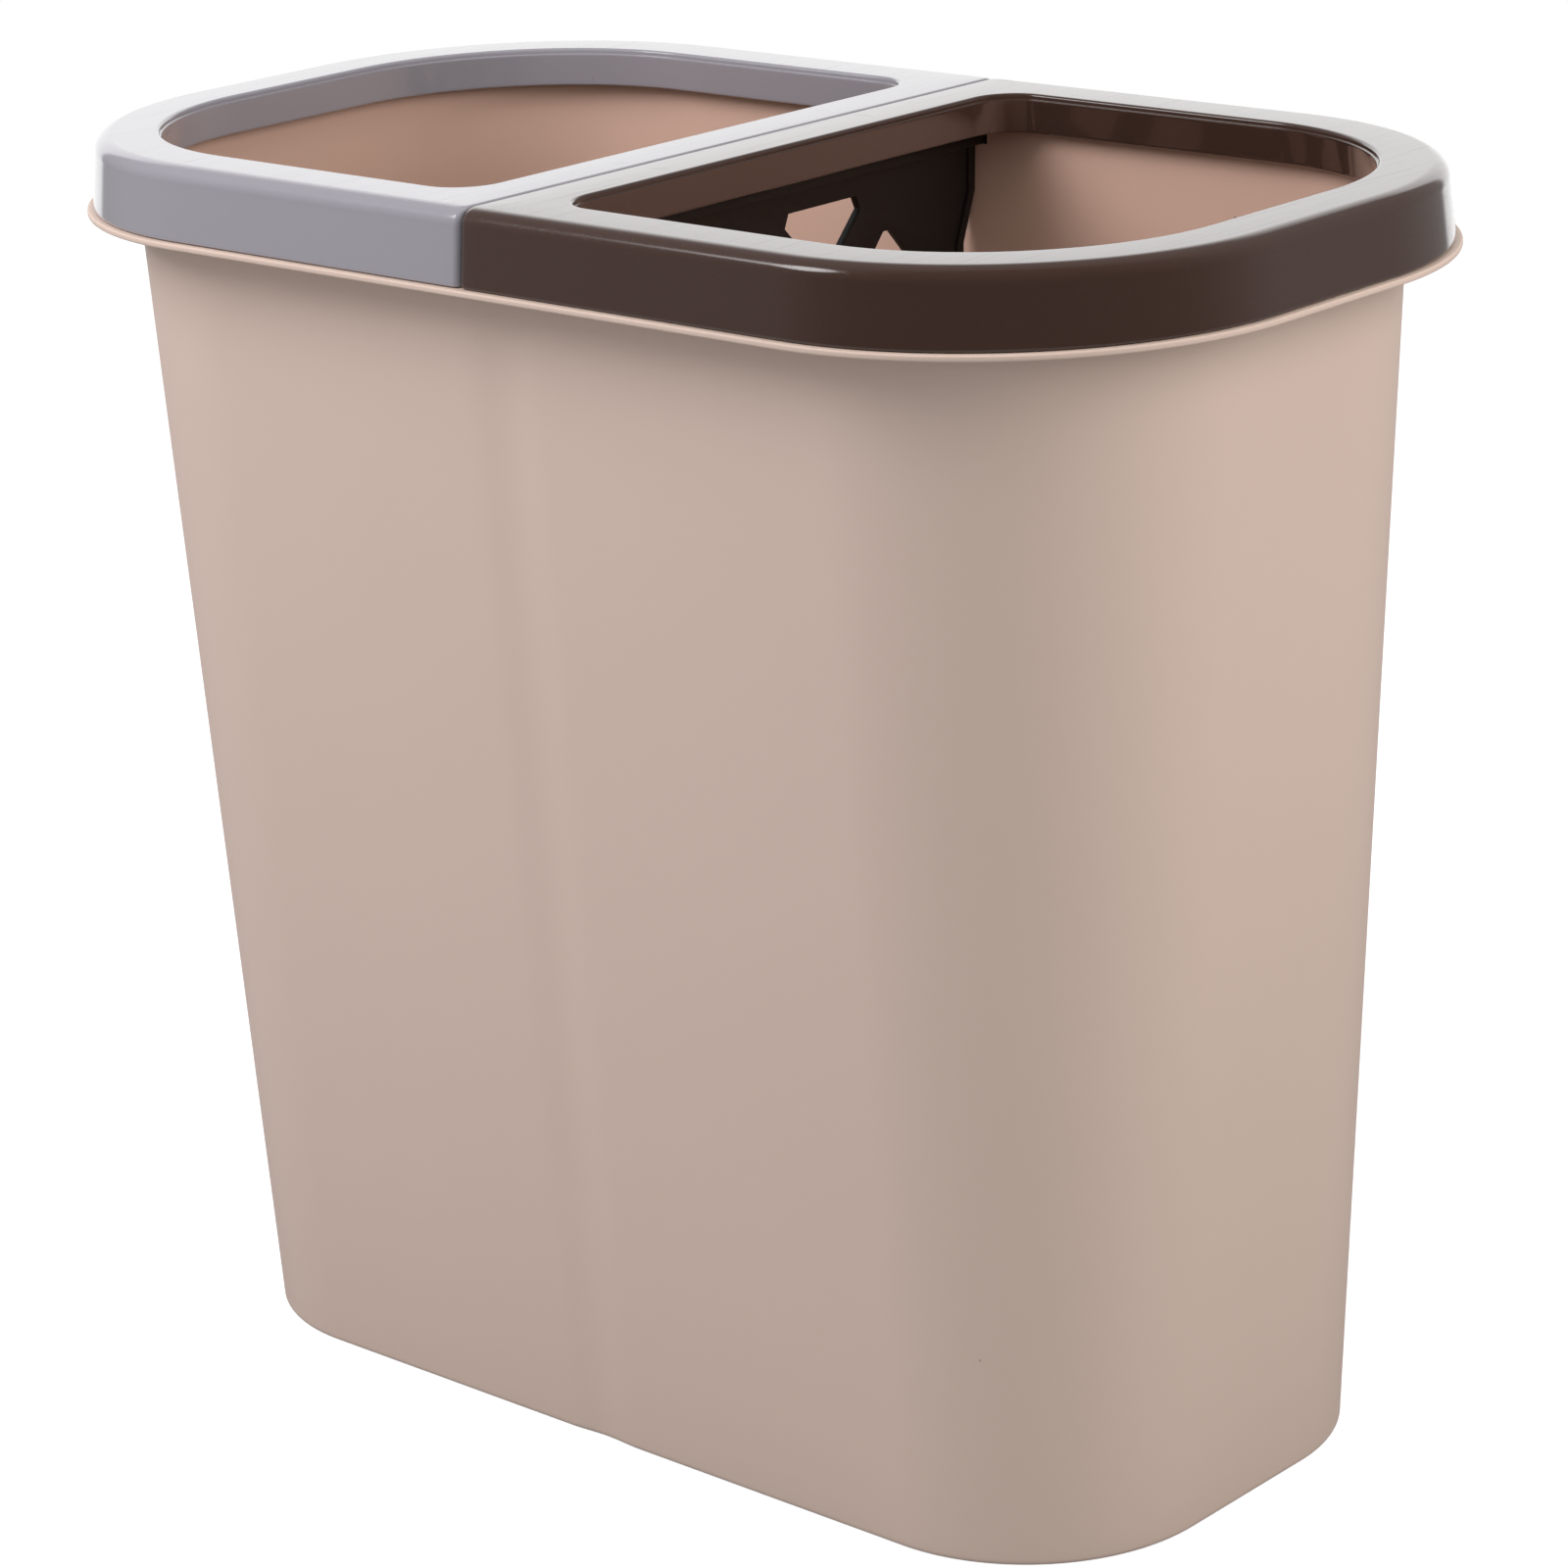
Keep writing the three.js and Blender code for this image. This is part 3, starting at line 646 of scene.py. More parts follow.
# ---------------------------------------------------------------- press rings
class RingForm:
    """Places on a press ring that follow from its sizes and the body's."""

    def __init__(self, body, rings, divider):
        self.body = body
        self.rings = rings
        self.corner_x, self.corner_y = corner_centre(body)
        self.bottom = body.lip_top + rings.seat_gap
        self.top = self.bottom + rings.height
        self.skirt_foot = wall_reach(body, body.lip_top) + body.rim_reach
        self.inner_bottom = self.top - rings.inner_depth
        self.step = self.top - rings.rim_step_depth
        foot_reach = wall_reach(body, self.inner_bottom) - body.wall - rings.bag_gap
        self.mouth_reach = foot_reach - rings.inner_wall - self.inner_out(self.inner_bottom)
        self.seam = rings.seam_gap / 2
        self.opening = self.seam + rings.bar_width
        rail_bottom = body.lip_top + body.notch_rise + divider.seat_gap
        ear_end = guide_half_width(body, divider, rail_bottom) + divider.ear_length
        self.cut_half = ear_end + rings.ear_clearance
        self.cut_top = body.top_height + rings.ear_clearance
        self.cut_depth = self.seam + rings.wall + rings.ear_clearance

    def skirt(self, height):
        return self.skirt_foot - self.rings.draft * (height - self.bottom)

    def inner_out(self, height):
        """How far the inner skirt's inside face stands out from the rim at a height."""
        return self.rings.inner_draft * (self.step - height) - self.rings.rim_step

    def opening_loop(self, out, height):
        """Outline of the opening's rim, moved out by a distance."""
        bar_corner = self.rings.bar_corner + out
        return self.loop(self.mouth_reach + out, self.opening - out, bar_corner, height)

    def loop(self, reach, bar_x, small_radius, height):
        """D-shaped loop of the ring on the +X side, closed round its opening."""
        small_x = bar_x + small_radius
        small_y = self.corner_y + reach - small_radius
        cut = self.cut_half
        stretch = min(1.0, (small_y - BAR_MARGIN) / (cut + CUT_SUPPORT))
        bar = [cut + CUT_SUPPORT, cut, *between(cut, -cut, 39), -cut, -cut - CUT_SUPPORT]
        points = []

        def arc(centre_x, centre_y, radius, quarter, steps):
            for step in range(steps + 1):
                angle = (quarter + step / steps) * math.pi / 2
                points.append(Vector((
                    centre_x + radius * math.cos(angle),
                    centre_y + radius * math.sin(angle),
                    height,
                )))

        arc(self.corner_x, self.corner_y, reach, 0, 44)
        for x in between(self.corner_x, small_x, 24):
            points.append(Vector((x, self.corner_y + reach, height)))
        arc(small_x, small_y, small_radius, 1, 10)
        for y in bar:
            z = height
            if abs(y) <= cut and bar_x < self.cut_depth:
                z = max(height, self.cut_top)
            points.append(Vector((bar_x, y * stretch, z)))
        arc(small_x, -small_y, small_radius, 2, 10)
        for x in between(small_x, self.corner_x, 24):
            points.append(Vector((x, -self.corner_y - reach, height)))
        arc(self.corner_x, -self.corner_y, reach, 3, 44)
        for y in between(-self.corner_y, self.corner_y, 11):
            points.append(Vector((self.corner_x + reach, y, height)))
        return points

    def outside(self):
        """Loops up the outer skirt, over the shoulder and onto the top."""
        rings = self.rings
        corner = rings.skirt_corner
        edge = rings.small_edge
        start = self.top - rings.shoulder
        foot = self.bottom + edge
        loops = []
        for along, off in quarter_round(3, first=0):
            height = self.bottom + edge * off
            inset = edge * (1 - along)
            loops.append(self.loop(self.skirt(height) - inset, self.seam + inset, corner, height))
        low, high = foot + SUPPORT, start - SUPPORT
        for height in (low, *between(low, high, 3), high, start):
            loops.append(self.loop(self.skirt(height), self.seam, corner, height))
        for up, inward in quarter_round(18):
            height = start + rings.shoulder * up
            setback = self.seam_setback(self.top - height)
            reach = self.skirt(start) - rings.shoulder * inward
            loops.append(self.loop(reach, self.seam + setback, corner, height))
        return loops

    def seam_setback(self, depth):
        """How far the rounded seam edge stands back at a depth below the top."""
        radius = self.rings.seam_edge
        rise = max(0.0, radius - depth)
        return radius - math.sqrt(radius * radius - rise * rise)

    def mouth(self):
        """Loops from the top in to the opening, over its rim and step and down the inner skirt."""
        rings = self.rings
        rim = rings.rim_edge
        edge = rings.step_edge
        loops = [self.opening_loop(out, self.top) for out in (rim + RIM_SUPPORT, rim)]
        for inward, down in quarter_round(7):
            loops.append(self.opening_loop(rim * (1 - inward), self.top - rim * down))
        loops.append(self.opening_loop(0.0, self.step + edge))
        for down, inward in quarter_round(3):
            loops.append(self.opening_loop(-edge * inward, self.step + edge * (1 - down)))
        face = self.inner_out(self.step - edge)
        for inward, down in quarter_round(4, first=0):
            loops.append(self.opening_loop(face + edge * (1 - inward), self.step - edge * down))
        edge = rings.small_edge
        foot = self.inner_bottom + edge
        for height in (self.step - rings.step_edge - RIM_SUPPORT, foot + RIM_SUPPORT, foot):
            loops.append(self.opening_loop(self.inner_out(height), height))
        for down, out in quarter_round(3):
            height = self.inner_bottom + edge * (1 - down)
            loops.append(self.opening_loop(self.inner_out(height) + edge * out, height))
        return loops

    def pocket(self):
        """Loops up the back of the inner skirt, under the top and down inside the skirt."""
        rings = self.rings
        edge = rings.small_edge
        ceiling = self.top - rings.wall
        loops = []
        for out, up in quarter_round(3, first=0):
            height = self.inner_bottom + edge * up
            back = self.inner_out(height) + rings.inner_wall
            loops.append(self.opening_loop(back - edge * (1 - out), height))
        for height in (ceiling - RIM_SUPPORT, ceiling):
            loops.append(self.opening_loop(self.inner_out(height) + rings.inner_wall, height))
        start = self.top - rings.shoulder
        curve = rings.shoulder - rings.wall
        seam = self.seam + rings.wall
        under = self.skirt(start) - rings.wall
        for up, inward in reversed(quarter_round(8, first=0)):
            height = start + curve * up
            loops.append(self.loop(under - curve * inward, seam, rings.pocket_corner, height))
        for height in (start - SUPPORT, self.bottom + edge + SUPPORT, self.bottom + edge):
            reach = self.skirt(height) - rings.wall
            loops.append(self.loop(reach, seam, rings.pocket_corner, height))
        for down, out in quarter_round(3):
            height = self.bottom + edge * (1 - down)
            reach = self.skirt(height) - rings.wall + edge * out
            loops.append(self.loop(reach, seam - edge * out, rings.pocket_corner, height))
        return loops

    def skin(self, name):
        """Closed mesh through all the loops, the last joined to the first."""
        loops = self.outside() + self.mouth() + self.pocket()
        mesh = bpy.data.meshes.new(name)
        with edited(mesh) as work:
            rows = [[work.verts.new(point) for point in loop] for loop in loops]
            for row, above in zip(rows, rows[1:] + rows[:1]):
                for step in range(len(row)):
                    after = (step + 1) % len(row)
                    work.faces.new((row[step], row[after], above[after], above[step]))
            bmesh.ops.remove_doubles(work, verts=work.verts, dist=2 * SAME_POINT)
            bmesh.ops.dissolve_degenerate(work, edges=work.edges, dist=SAME_POINT)
        return mesh


def blade(name, outline, thickness):
    """Upright plate from an outline of (distance out, height), centred on its plane."""
    mesh = bpy.data.meshes.new(name)
    half = thickness / 2
    with edited(mesh) as work:
        near = [work.verts.new((out, -half, height)) for out, height in outline]
        far = [work.verts.new((out, half, height)) for out, height in outline]
        work.faces.new(near)
        work.faces.new(list(reversed(far)))
        for index in range(len(outline)):
            after = (index + 1) % len(outline)
            work.faces.new((near[after], near[index], far[index], far[after]))
        bmesh.ops.recalc_face_normals(work, faces=work.faces)
    return mesh_object(name, mesh)


def radial_blade(form):
    """Rib that runs from near the wall's top edge out into the skirt."""
    body, rings = form.body, form.rings
    inner = wall_reach(body, body.top_height) + rings.rib_clearance
    low = body.lip_top + body.notch_rise
    middle = rings.wall / 2
    start = form.top - rings.shoulder
    curve = rings.shoulder - middle
    outline = [(inner, low), (form.skirt(low) - middle, low)]
    outline.append((form.skirt(start) - middle, start))
    for up, inward in quarter_round(5):
        outline.append((form.skirt(start) - middle - curve * inward, start + curve * up))
    outline.append((inner, form.top - middle))
    return blade("rib blade", outline, rings.rib)


def bar_blade(form):
    """Rib across the bar, from the seam wall to the inner skirt."""
    rings = form.rings
    low = form.top - rings.wall - rings.bar_rib_depth
    start = form.seam + rings.wall / 2
    end = form.opening - rings.inner_wall / 2
    high = form.top - rings.wall / 2
    foot = max(low, form.cut_top)
    back = form.cut_depth
    outline = [(back, low), (end, low), (end, high), (start, high), (start, foot), (back, foot)]
    return blade("bar rib blade", outline, rings.rib)


def rib_stations(name, places):
    """Points that ribs stand on, each with its turn about the upright axis."""
    points = [(x, y, 0.0) for x, y, _ in places]
    return line_object(name, points, turn=[math.radians(turn) for _, _, turn in places])


def rib_tree(values):
    """Stand a rib on each station and join them to the ring."""
    tree, graph, take, result = geometry_tree("ring ribs", values)
    parts = [take["Geometry"]]
    for kind in ("Radial", "Bar"):
        parts.append(graph.add("GeometryNodeInstanceOnPoints", {
            "Points": graph.shape(take[f"{kind} Stations"]),
            "Instance": graph.shape(take[f"{kind} Rib"]),
            "Rotation": graph.vector(z=graph.attribute("turn")),
        }))
    joined = graph.add("GeometryNodeJoinGeometry", {0: parts})
    end_tree(graph, joined, take["Finish"], result)
    return tree


class BIN_OT_make_rings(bpy.types.Operator):
    """Build the two press rings with their ribs"""

    bl_idname = "recycling_bin.make_rings"
    bl_label = "Press rings"

    def execute(self, context):
        scene = context.scene
        form = RingForm(scene.bin_body, scene.bin_rings, scene.bin_divider)
        x, y = form.corner_x, form.corner_y
        rings = scene.bin_rings
        radial = [(x, 0.0, 0)]
        for side in (1, -1):
            radial += [(across, side * y, side * 90) for across in (rings.rib_near, rings.rib_far)]
            radial += [(x, side * y, side * turn) for turn in (30, 60)]
        bar = [(0.0, side * rings.bar_rib, 0) for side in (1, -1)]
        helpers = {
            "Radial Stations": rib_stations("radial stations", radial),
            "Radial Rib": radial_blade(form),
            "Bar Stations": rib_stations("bar stations", bar),
            "Bar Rib": bar_blade(form),
        }
        colours = scene.bin_finishes
        for name, colour, dust, turn in (
            ("brown", colours.brown_ring, colours.dust, 0.0),
            ("grey", colours.grey_ring, colours.grime, math.pi),
        ):
            material = polished_plastic(f"{name} polished plastic", colour, dust)
            piece = mesh_object(f"{name}_ring_moulding", form.skin(f"{name} ring"))
            values = {**helpers, "Finish": material}
            run_tree(piece, rib_tree(values), values)
            piece.data.transform(Matrix.Rotation(turn, 4, "Z"))
            finish_piece(
                piece, material, [f"{name}_press_ring"], f"{name}_ring"
            )
        for helper in helpers.values():
            bpy.data.objects.remove(helper)
        return {"FINISHED"}


# ---------------------------------------------------------------- divider
def panel_half_width(body, divider, height):
    """Half the panel's width: full at the ears, then stepping in below them."""
    ear_bottom = divider_top(body, divider) - divider.ear_depth
    step = min(1.0, max(0.0, (ear_bottom - height) / divider.ear_slant))
    return guide_half_width(body, divider, height) - divider.side_gap * step


def divider_top(body, divider):
    return body.lip_top + body.notch_rise + divider.seat_gap + divider.rail_thickness


def outline_object(name, body, divider, inset=None):
    """Panel outline as a closed line of edges, or the ring between two outlines."""
    top = divider_top(body, divider)
    bottom = body.foot_height + body.floor + divider.floor_gap
    ear_bottom = top - divider.ear_depth

    def loop(by):
        heights = [bottom + by, ear_bottom - divider.ear_slant, ear_bottom, top - by]
        right = [(panel_half_width(body, divider, h) - by, h, 0.0) for h in heights]
        return right + [(-across, height, 0.0) for across, height, _ in reversed(right)]

    loops = [loop(0.0)] + ([loop(inset)] if inset else [])
    points, edges = [], []
    for line in loops:
        first = len(points)
        points += line
        edges += [(first + i, first + (i + 1) % len(line)) for i in range(len(line))]
    return line_object(name, points, edges)


def cell_stations(name, body, divider):
    """Middles of the lattice's openings, each with its half width."""
    top_line = divider_top(body, divider) - divider.top_band
    bottom = body.foot_height + body.floor + divider.floor_gap
    rows = int((top_line - bottom - divider.bottom_band) / divider.cell_pitch)
    strut_half = divider.strut * math.sqrt(0.5)
    points, widths = [], []
    for row in range(rows + 1):
        height = top_line - row * divider.cell_pitch
        clear = panel_half_width(body, divider, height - divider.cell_pitch / 2) - divider.edge_band
        pitch = (clear + strut_half) / (divider.columns + 1)
        for column in range(-divider.columns, divider.columns + 1):
            if (row + column) % 2:
                points.append((column * pitch, height, 0.0))
                widths.append(pitch - strut_half)
    cells = line_object(name, points, half_width=widths)
    return cells, top_line, top_line - rows * divider.cell_pitch


def divider_tree(values):
    """Cut the staggered diamonds out of the panel, give panel and bead their thickness and
    lay the rail on top. Drawn flat as (across, height) and stood up at the end."""
    tree, graph, take, result = geometry_tree("lattice divider", values)
    diamond = graph.add("GeometryNodeCurvePrimitiveCircle", {"Resolution": 4, "Radius": 1.0})
    placed = graph.add("GeometryNodeInstanceOnPoints", {
        "Points": graph.shape(take["Cells"]),
        "Instance": diamond,
        "Scale": graph.vector(graph.attribute("half_width"), take["Half High"], 1.0),
    })
    diamonds = graph.add("GeometryNodeRealizeInstances", {"Geometry": placed})
    across, height, _ = graph.split(graph.add("GeometryNodeInputPosition"))
    held = graph.math("MINIMUM", height, take["Top Line"])
    held = graph.math("MAXIMUM", held, take["Bottom Line"])
    halved = graph.add("GeometryNodeSetPosition", {
        "Geometry": diamonds, "Position": graph.vector(across, held),
    })
    softened = graph.add("GeometryNodeFilletCurve", {
        "Curve": halved, "Count": 1, "Radius": take["Cell Corner"], "Limit Radius": True,
    }, mode="POLY")

    outline = graph.add("GeometryNodeMeshToCurve", {"Mesh": take["Geometry"]})
    lines = graph.add("GeometryNodeJoinGeometry", {0: [outline, softened]})
    panel = thick_sheet(graph, lines, take["Panel"])

    bead_curve = graph.add("GeometryNodeMeshToCurve", {"Mesh": graph.shape(take["Bead Outline"])})
    bead = thick_sheet(graph, bead_curve, take["Bead"])

    rail_size = graph.vector(take["Rail Length"], take["Rail Thickness"], take["Rail Width"])
    rail = graph.add("GeometryNodeTransform", {
        "Geometry": graph.add("GeometryNodeMeshCube", {"Size": rail_size}),
        "Translation": graph.vector(y=take["Rail Middle"]),
    })

    whole = graph.add("GeometryNodeMeshBoolean", {
        "Mesh 2": [panel, bead, rail],
    }, operation="UNION", solver="EXACT")
    upright = graph.add("GeometryNodeTransform", {
        "Geometry": whole, "Rotation": (math.pi / 2, 0.0, math.pi / 2),
    })
    end_tree(graph, upright, take["Finish"], result)
    return tree


def thick_sheet(graph, lines, thickness):
    """Closed lines filled and given a thickness, half on each side of their plane."""
    sheet = graph.add("GeometryNodeFillCurve", {"Curve": lines}, mode="NGONS")
    down = graph.vector(z=graph.times(thickness, -0.5))
    low = graph.add("GeometryNodeTransform", {"Geometry": sheet, "Translation": down})
    raised = graph.add("GeometryNodeExtrudeMesh", {
        "Mesh": low, "Offset": graph.vector(z=1.0), "Offset Scale": thickness, "Individual": False,
    }, mode="FACES")
    turned = graph.add("GeometryNodeFlipFaces", {"Mesh": low})
    both = graph.add("GeometryNodeJoinGeometry", {0: [raised.outputs["Mesh"], turned]})
    return graph.add("GeometryNodeMergeByDistance", {"Geometry": both, "Distance": SAME_POINT})


class BIN_OT_make_divider(bpy.types.Operator):
    """Build the lattice divider with its rail and ears"""

    bl_idname = "recycling_bin.make_divider"
    bl_label = "Lattice divider"

    def execute(self, context):
        scene = context.scene
        body, divider = scene.bin_body, scene.bin_divider
        top = divider_top(body, divider)
        finishes = scene.bin_finishes
        material = satin_plastic("black satin plastic", finishes.divider, finishes.dust, 0.03 * MM)
        piece = outline_object("lattice_divider_moulding", body, divider)
        bead = outline_object("bead outline", body, divider, divider.bead_width)
        cells, top_line, bottom_line = cell_stations("cells", body, divider)
        rail_bottom = top - divider.rail_thickness
        half_length = guide_half_width(body, divider, rail_bottom) + divider.ear_length
        values = {
            "Bead Outline": bead,
            "Cells": cells,
            "Half High": divider.cell_pitch - divider.strut * math.sqrt(0.5),
            "Top Line": top_line,
            "Bottom Line": bottom_line,
            "Cell Corner": divider.cell_corner,
            "Panel": divider.panel,
            "Bead": divider.bead_thickness,
            "Rail Width": divider.rail_width,
            "Rail Thickness": divider.rail_thickness,
            "Rail Length": 2 * half_length,
            "Rail Middle": top - divider.rail_thickness / 2,
            "Finish": material,
        }
        run_tree(piece, divider_tree(values), values)
        with edited(piece.data) as work:
            bmesh.ops.dissolve_limit(
                work, angle_limit=FLAT_ANGLE, verts=work.verts, edges=work.edges
            )
            corners = [
                edge for edge in work.edges
                if edge.is_manifold and edge.calc_face_angle(0.0) > SHARP_ANGLE
            ]
            bmesh.ops.bevel(
                work, geom=corners, offset=divider.edge, segments=2, profile=0.5,
                affect="EDGES", clamp_overlap=True,
            )
        finish_piece(piece, material, ["lattice_divider"], "divider")
        for helper in (bead, cells):
            bpy.data.objects.remove(helper)
        return {"FINISHED"}


# ---------------------------------------------------------------- finishes
def shader_group(name, inputs):
    """Shader node group that takes a place and named values and gives one value back."""
    tree = bpy.data.node_groups.new(name, "ShaderNodeTree")
    tree.interface.new_socket("Vector", in_out="INPUT", socket_type="NodeSocketVector")
    for label, value in inputs.items():
        socket = tree.interface.new_socket(label, in_out="INPUT", socket_type="NodeSocketFloat")
        socket.default_value = value
    tree.interface.new_socket("Value", in_out="OUTPUT", socket_type="NodeSocketFloat")
    graph = Graph(tree)
    return tree, graph, graph.add("NodeGroupInput").outputs, graph.add("NodeGroupOutput").inputs


def drift_group(name):
    """Slow change round 1, for tones and for the waviness of a moulded skin."""
    tree, graph, take, give = shader_group(name, {"Size": 0.08, "Spread": 0.02})
    noise = graph.add("ShaderNodeTexNoise", {
        "Vector": take["Vector"],
        "Scale": graph.math("DIVIDE", 1.0, take["Size"]),
        "Detail": 2.0,
        "Roughness": 0.45,
    })
    swing = graph.times(graph.minus(noise.outputs[0], 0.5), 2.0)
    graph.feed(give["Value"], graph.plus(graph.times(swing, take["Spread"]), 1.0))
    return tree


def specks_group(name):
    """Scattered specks: a share of the cells that fill space holds one each."""
    tree, graph, take, give = shader_group(name, {"Spacing": 0.01, "Size": 0.0003, "Share": 0.1})
    cells = graph.add("ShaderNodeTexVoronoi", {
        "Vector": take["Vector"],
        "Scale": graph.math("DIVIDE", 1.0, take["Spacing"]),
    }, feature="F1")
    chance = graph.add("ShaderNodeSeparateColor", {0: cells.outputs["Color"]}).outputs
    kept = graph.math("LESS_THAN", chance[0], take["Share"])
    reach = graph.times(graph.plus(chance[1], 0.4), take["Size"])
    away = graph.times(cells.outputs["Distance"], take["Spacing"])
    spot = graph.smooth(away, reach, graph.times(reach, 0.4))
    graph.feed(give["Value"], graph.times(spot, kept))
    return tree


def hairlines_group(name):
    """Fine scratches that run one way: noise drawn out along a turned axis, its peaks kept."""
    tree, graph, take, give = shader_group(
        name, {"Turn": 0.0, "Length": 0.05, "Width": 0.0006, "Cut": 0.66}
    )
    turned = graph.add("ShaderNodeVectorRotate", {
        "Vector": take["Vector"], "Angle": take["Turn"],
    }, rotation_type="Z_AXIS")
    across = graph.math("DIVIDE", 1.0, take["Width"])
    along = graph.math("DIVIDE", 1.0, take["Length"])
    stretch = graph.vector(across, along, across)
    drawn = graph.add("ShaderNodeVectorMath", {0: turned, 1: stretch}, operation="MULTIPLY")
    noise = graph.add("ShaderNodeTexNoise", {
        "Vector": drawn.outputs[0], "Scale": 1.0, "Detail": 1.0, "Roughness": 0.5,
    })
    high = graph.plus(take["Cut"], 0.08)
    graph.feed(give["Value"], graph.smooth(noise.outputs[0], take["Cut"], high))
    return tree


def inside_group(name):
    """1 on the inside of the tapered wall and its floor, 0 on their outside; it places the painted
    bounce light.
    """
    tree, graph, take, give = shader_group(name, {
        "Corner X": 0.1135, "Corner Y": 0.026, "Reach": 0.0578, "Draft": 0.053,
        "Near": 0.00135, "Far": 0.00175, "Floor": 0.00425,
    })
    x, y, z = graph.split(take["Vector"])

    def beyond(place, corner):
        past = graph.minus(graph.absolute(place), take[corner])
        return graph.math("MAXIMUM", past, 0.0)

    reach = graph.hypotenuse(beyond(x, "Corner X"), beyond(y, "Corner Y"))
    skin = graph.plus(graph.times(z, take["Draft"]), take["Reach"])
    depth = graph.minus(skin, reach)
    above = graph.math("GREATER_THAN", z, take["Floor"])
    deep = graph.smooth(depth, take["Near"], take["Far"])
    graph.feed(give["Value"], graph.times(deep, above))
    return tree


def crescents_group(name):
    """Small arcs left by the mould, mirrored into all four quarters, on a level face."""
    tree, graph, take, give = shader_group(
        name, {"Across": 0.0075, "Along": 0.042, "Radius": 0.003, "Width": 0.0006, "Level": 0.369}
    )
    x, y, z = graph.split(take["Vector"])
    off_x = graph.minus(graph.absolute(x), take["Across"])
    off_y = graph.minus(graph.absolute(y), take["Along"])
    radius = graph.hypotenuse(off_x, off_y)
    away = graph.absolute(graph.minus(radius, take["Radius"]))
    line = graph.smooth(away, take["Width"], 0.0)
    side = graph.smooth(graph.math("DIVIDE", off_y, take["Radius"]), 0.1, 0.5)
    level = graph.math("GREATER_THAN", z, take["Level"])
    graph.feed(give["Value"], graph.times(graph.times(line, side), level))
    return tree


GROUP_BUILDERS = {
    "slow drift": drift_group,
    "specks": specks_group,
    "hairlines": hairlines_group,
    "crescents": crescents_group,
    "inside of the wall": inside_group,
}


class Plastic:
    """A moulded plastic's material: its place, its groups and its shader."""

    def __init__(self, name, roughness):
        self.material, self.graph, self.shader = principled(name)
        self.place = self.graph.add("ShaderNodeTexCoord").outputs["Object"]
        self.roughness = roughness
        self.worn = 0.0
        self.relief = None

    def effect(self, name, **values):
        """One of the shared groups, built once and placed here with its own values."""
        tree = bpy.data.node_groups.get(name) or GROUP_BUILDERS[name](name)
        inputs = {"Vector": self.place}
        inputs.update({label.replace("_", " ").title(): value for label, value in values.items()})
        return self.graph.add("ShaderNodeGroup", inputs, node_tree=tree).outputs[0]

    def colour(self, colour, tone, dust, dust_colour):
        """Base colour times its tone, with dust over it."""
        toned = self.graph.add("ShaderNodeVectorMath", {
            0: colour, "Scale": tone,
        }, operation="SCALE").outputs[0]
        dusty = self.graph.blend_colour(dust, toned, linear(dust_colour))
        self.graph.feed(self.shader.inputs["Base Color"], dusty)

    def roughen(self, mask, amount):
        """Add to the roughness where a mask is set."""
        self.worn = self.graph.plus(self.worn, self.graph.times(mask, amount))

    def emboss(self, height, distance):
        """Raise the surface by a height that runs from 0 to 1, over a distance."""
        bump = self.graph.add("ShaderNodeBump", {"Height": height, "Distance": distance})
        if self.relief:
            self.graph.feed(bump.inputs["Normal"], self.relief)
        self.relief = bump.outputs[0]

    def finish(self):
        total = self.graph.math("ADD", self.worn, self.roughness, clamp=True)
        self.graph.feed(self.shader.inputs["Roughness"], total)
        self.graph.feed(self.shader.inputs["Normal"], self.relief)
        return self.material


def principled(name):
    material = bpy.data.materials.new(name)
    material.use_nodes = True
    tree = material.node_tree
    tree.nodes.clear()
    graph = Graph(tree)
    shader = graph.add("ShaderNodeBsdfPrincipled")
    output = graph.add("ShaderNodeOutputMaterial")
    tree.links.new(shader.outputs[0], output.inputs["Surface"])
    return material, graph, shader


def satin_plastic(name, colour, dust_colour, grain, painted_bounce=None):
    """Satin skin with a fine grain, soft ripples, a few scratches and specks. The inside of
    a wall can be given a warmer colour, which is painted bounce light, not the plastic's own
    colour."""
    plastic = Plastic(name, 0.42)
    # Painted bounce light: the inside of the wall gets a warmer colour that stands in for light
    # bounced inside the bin.
    if painted_bounce:
        inside = plastic.effect("inside of the wall", **painted_bounce["places"])
        skin = plastic.graph.blend_colour(inside, linear(colour), linear(painted_bounce["colour"]))
    else:
        skin = linear(colour)[:3]
    tone = plastic.effect("slow drift", size=0.09, spread=0.014)
    dust = plastic.effect("specks", spacing=0.045, size=0.0011, share=0.35)
    plastic.colour(skin, tone, dust, dust_colour)
    plastic.roughen(plastic.effect("slow drift", size=0.03, spread=0.5), 0.05)
    scratches = plastic.effect("hairlines", turn=0.3, length=0.03, width=0.0008, cut=0.72)
    plastic.roughen(scratches, 0.12)
    plastic.emboss(plastic.effect("slow drift", size=0.055, spread=0.5), 0.12 * MM)
    plastic.emboss(plastic.effect("slow drift", size=0.0012, spread=0.5), grain)
    return plastic.finish()


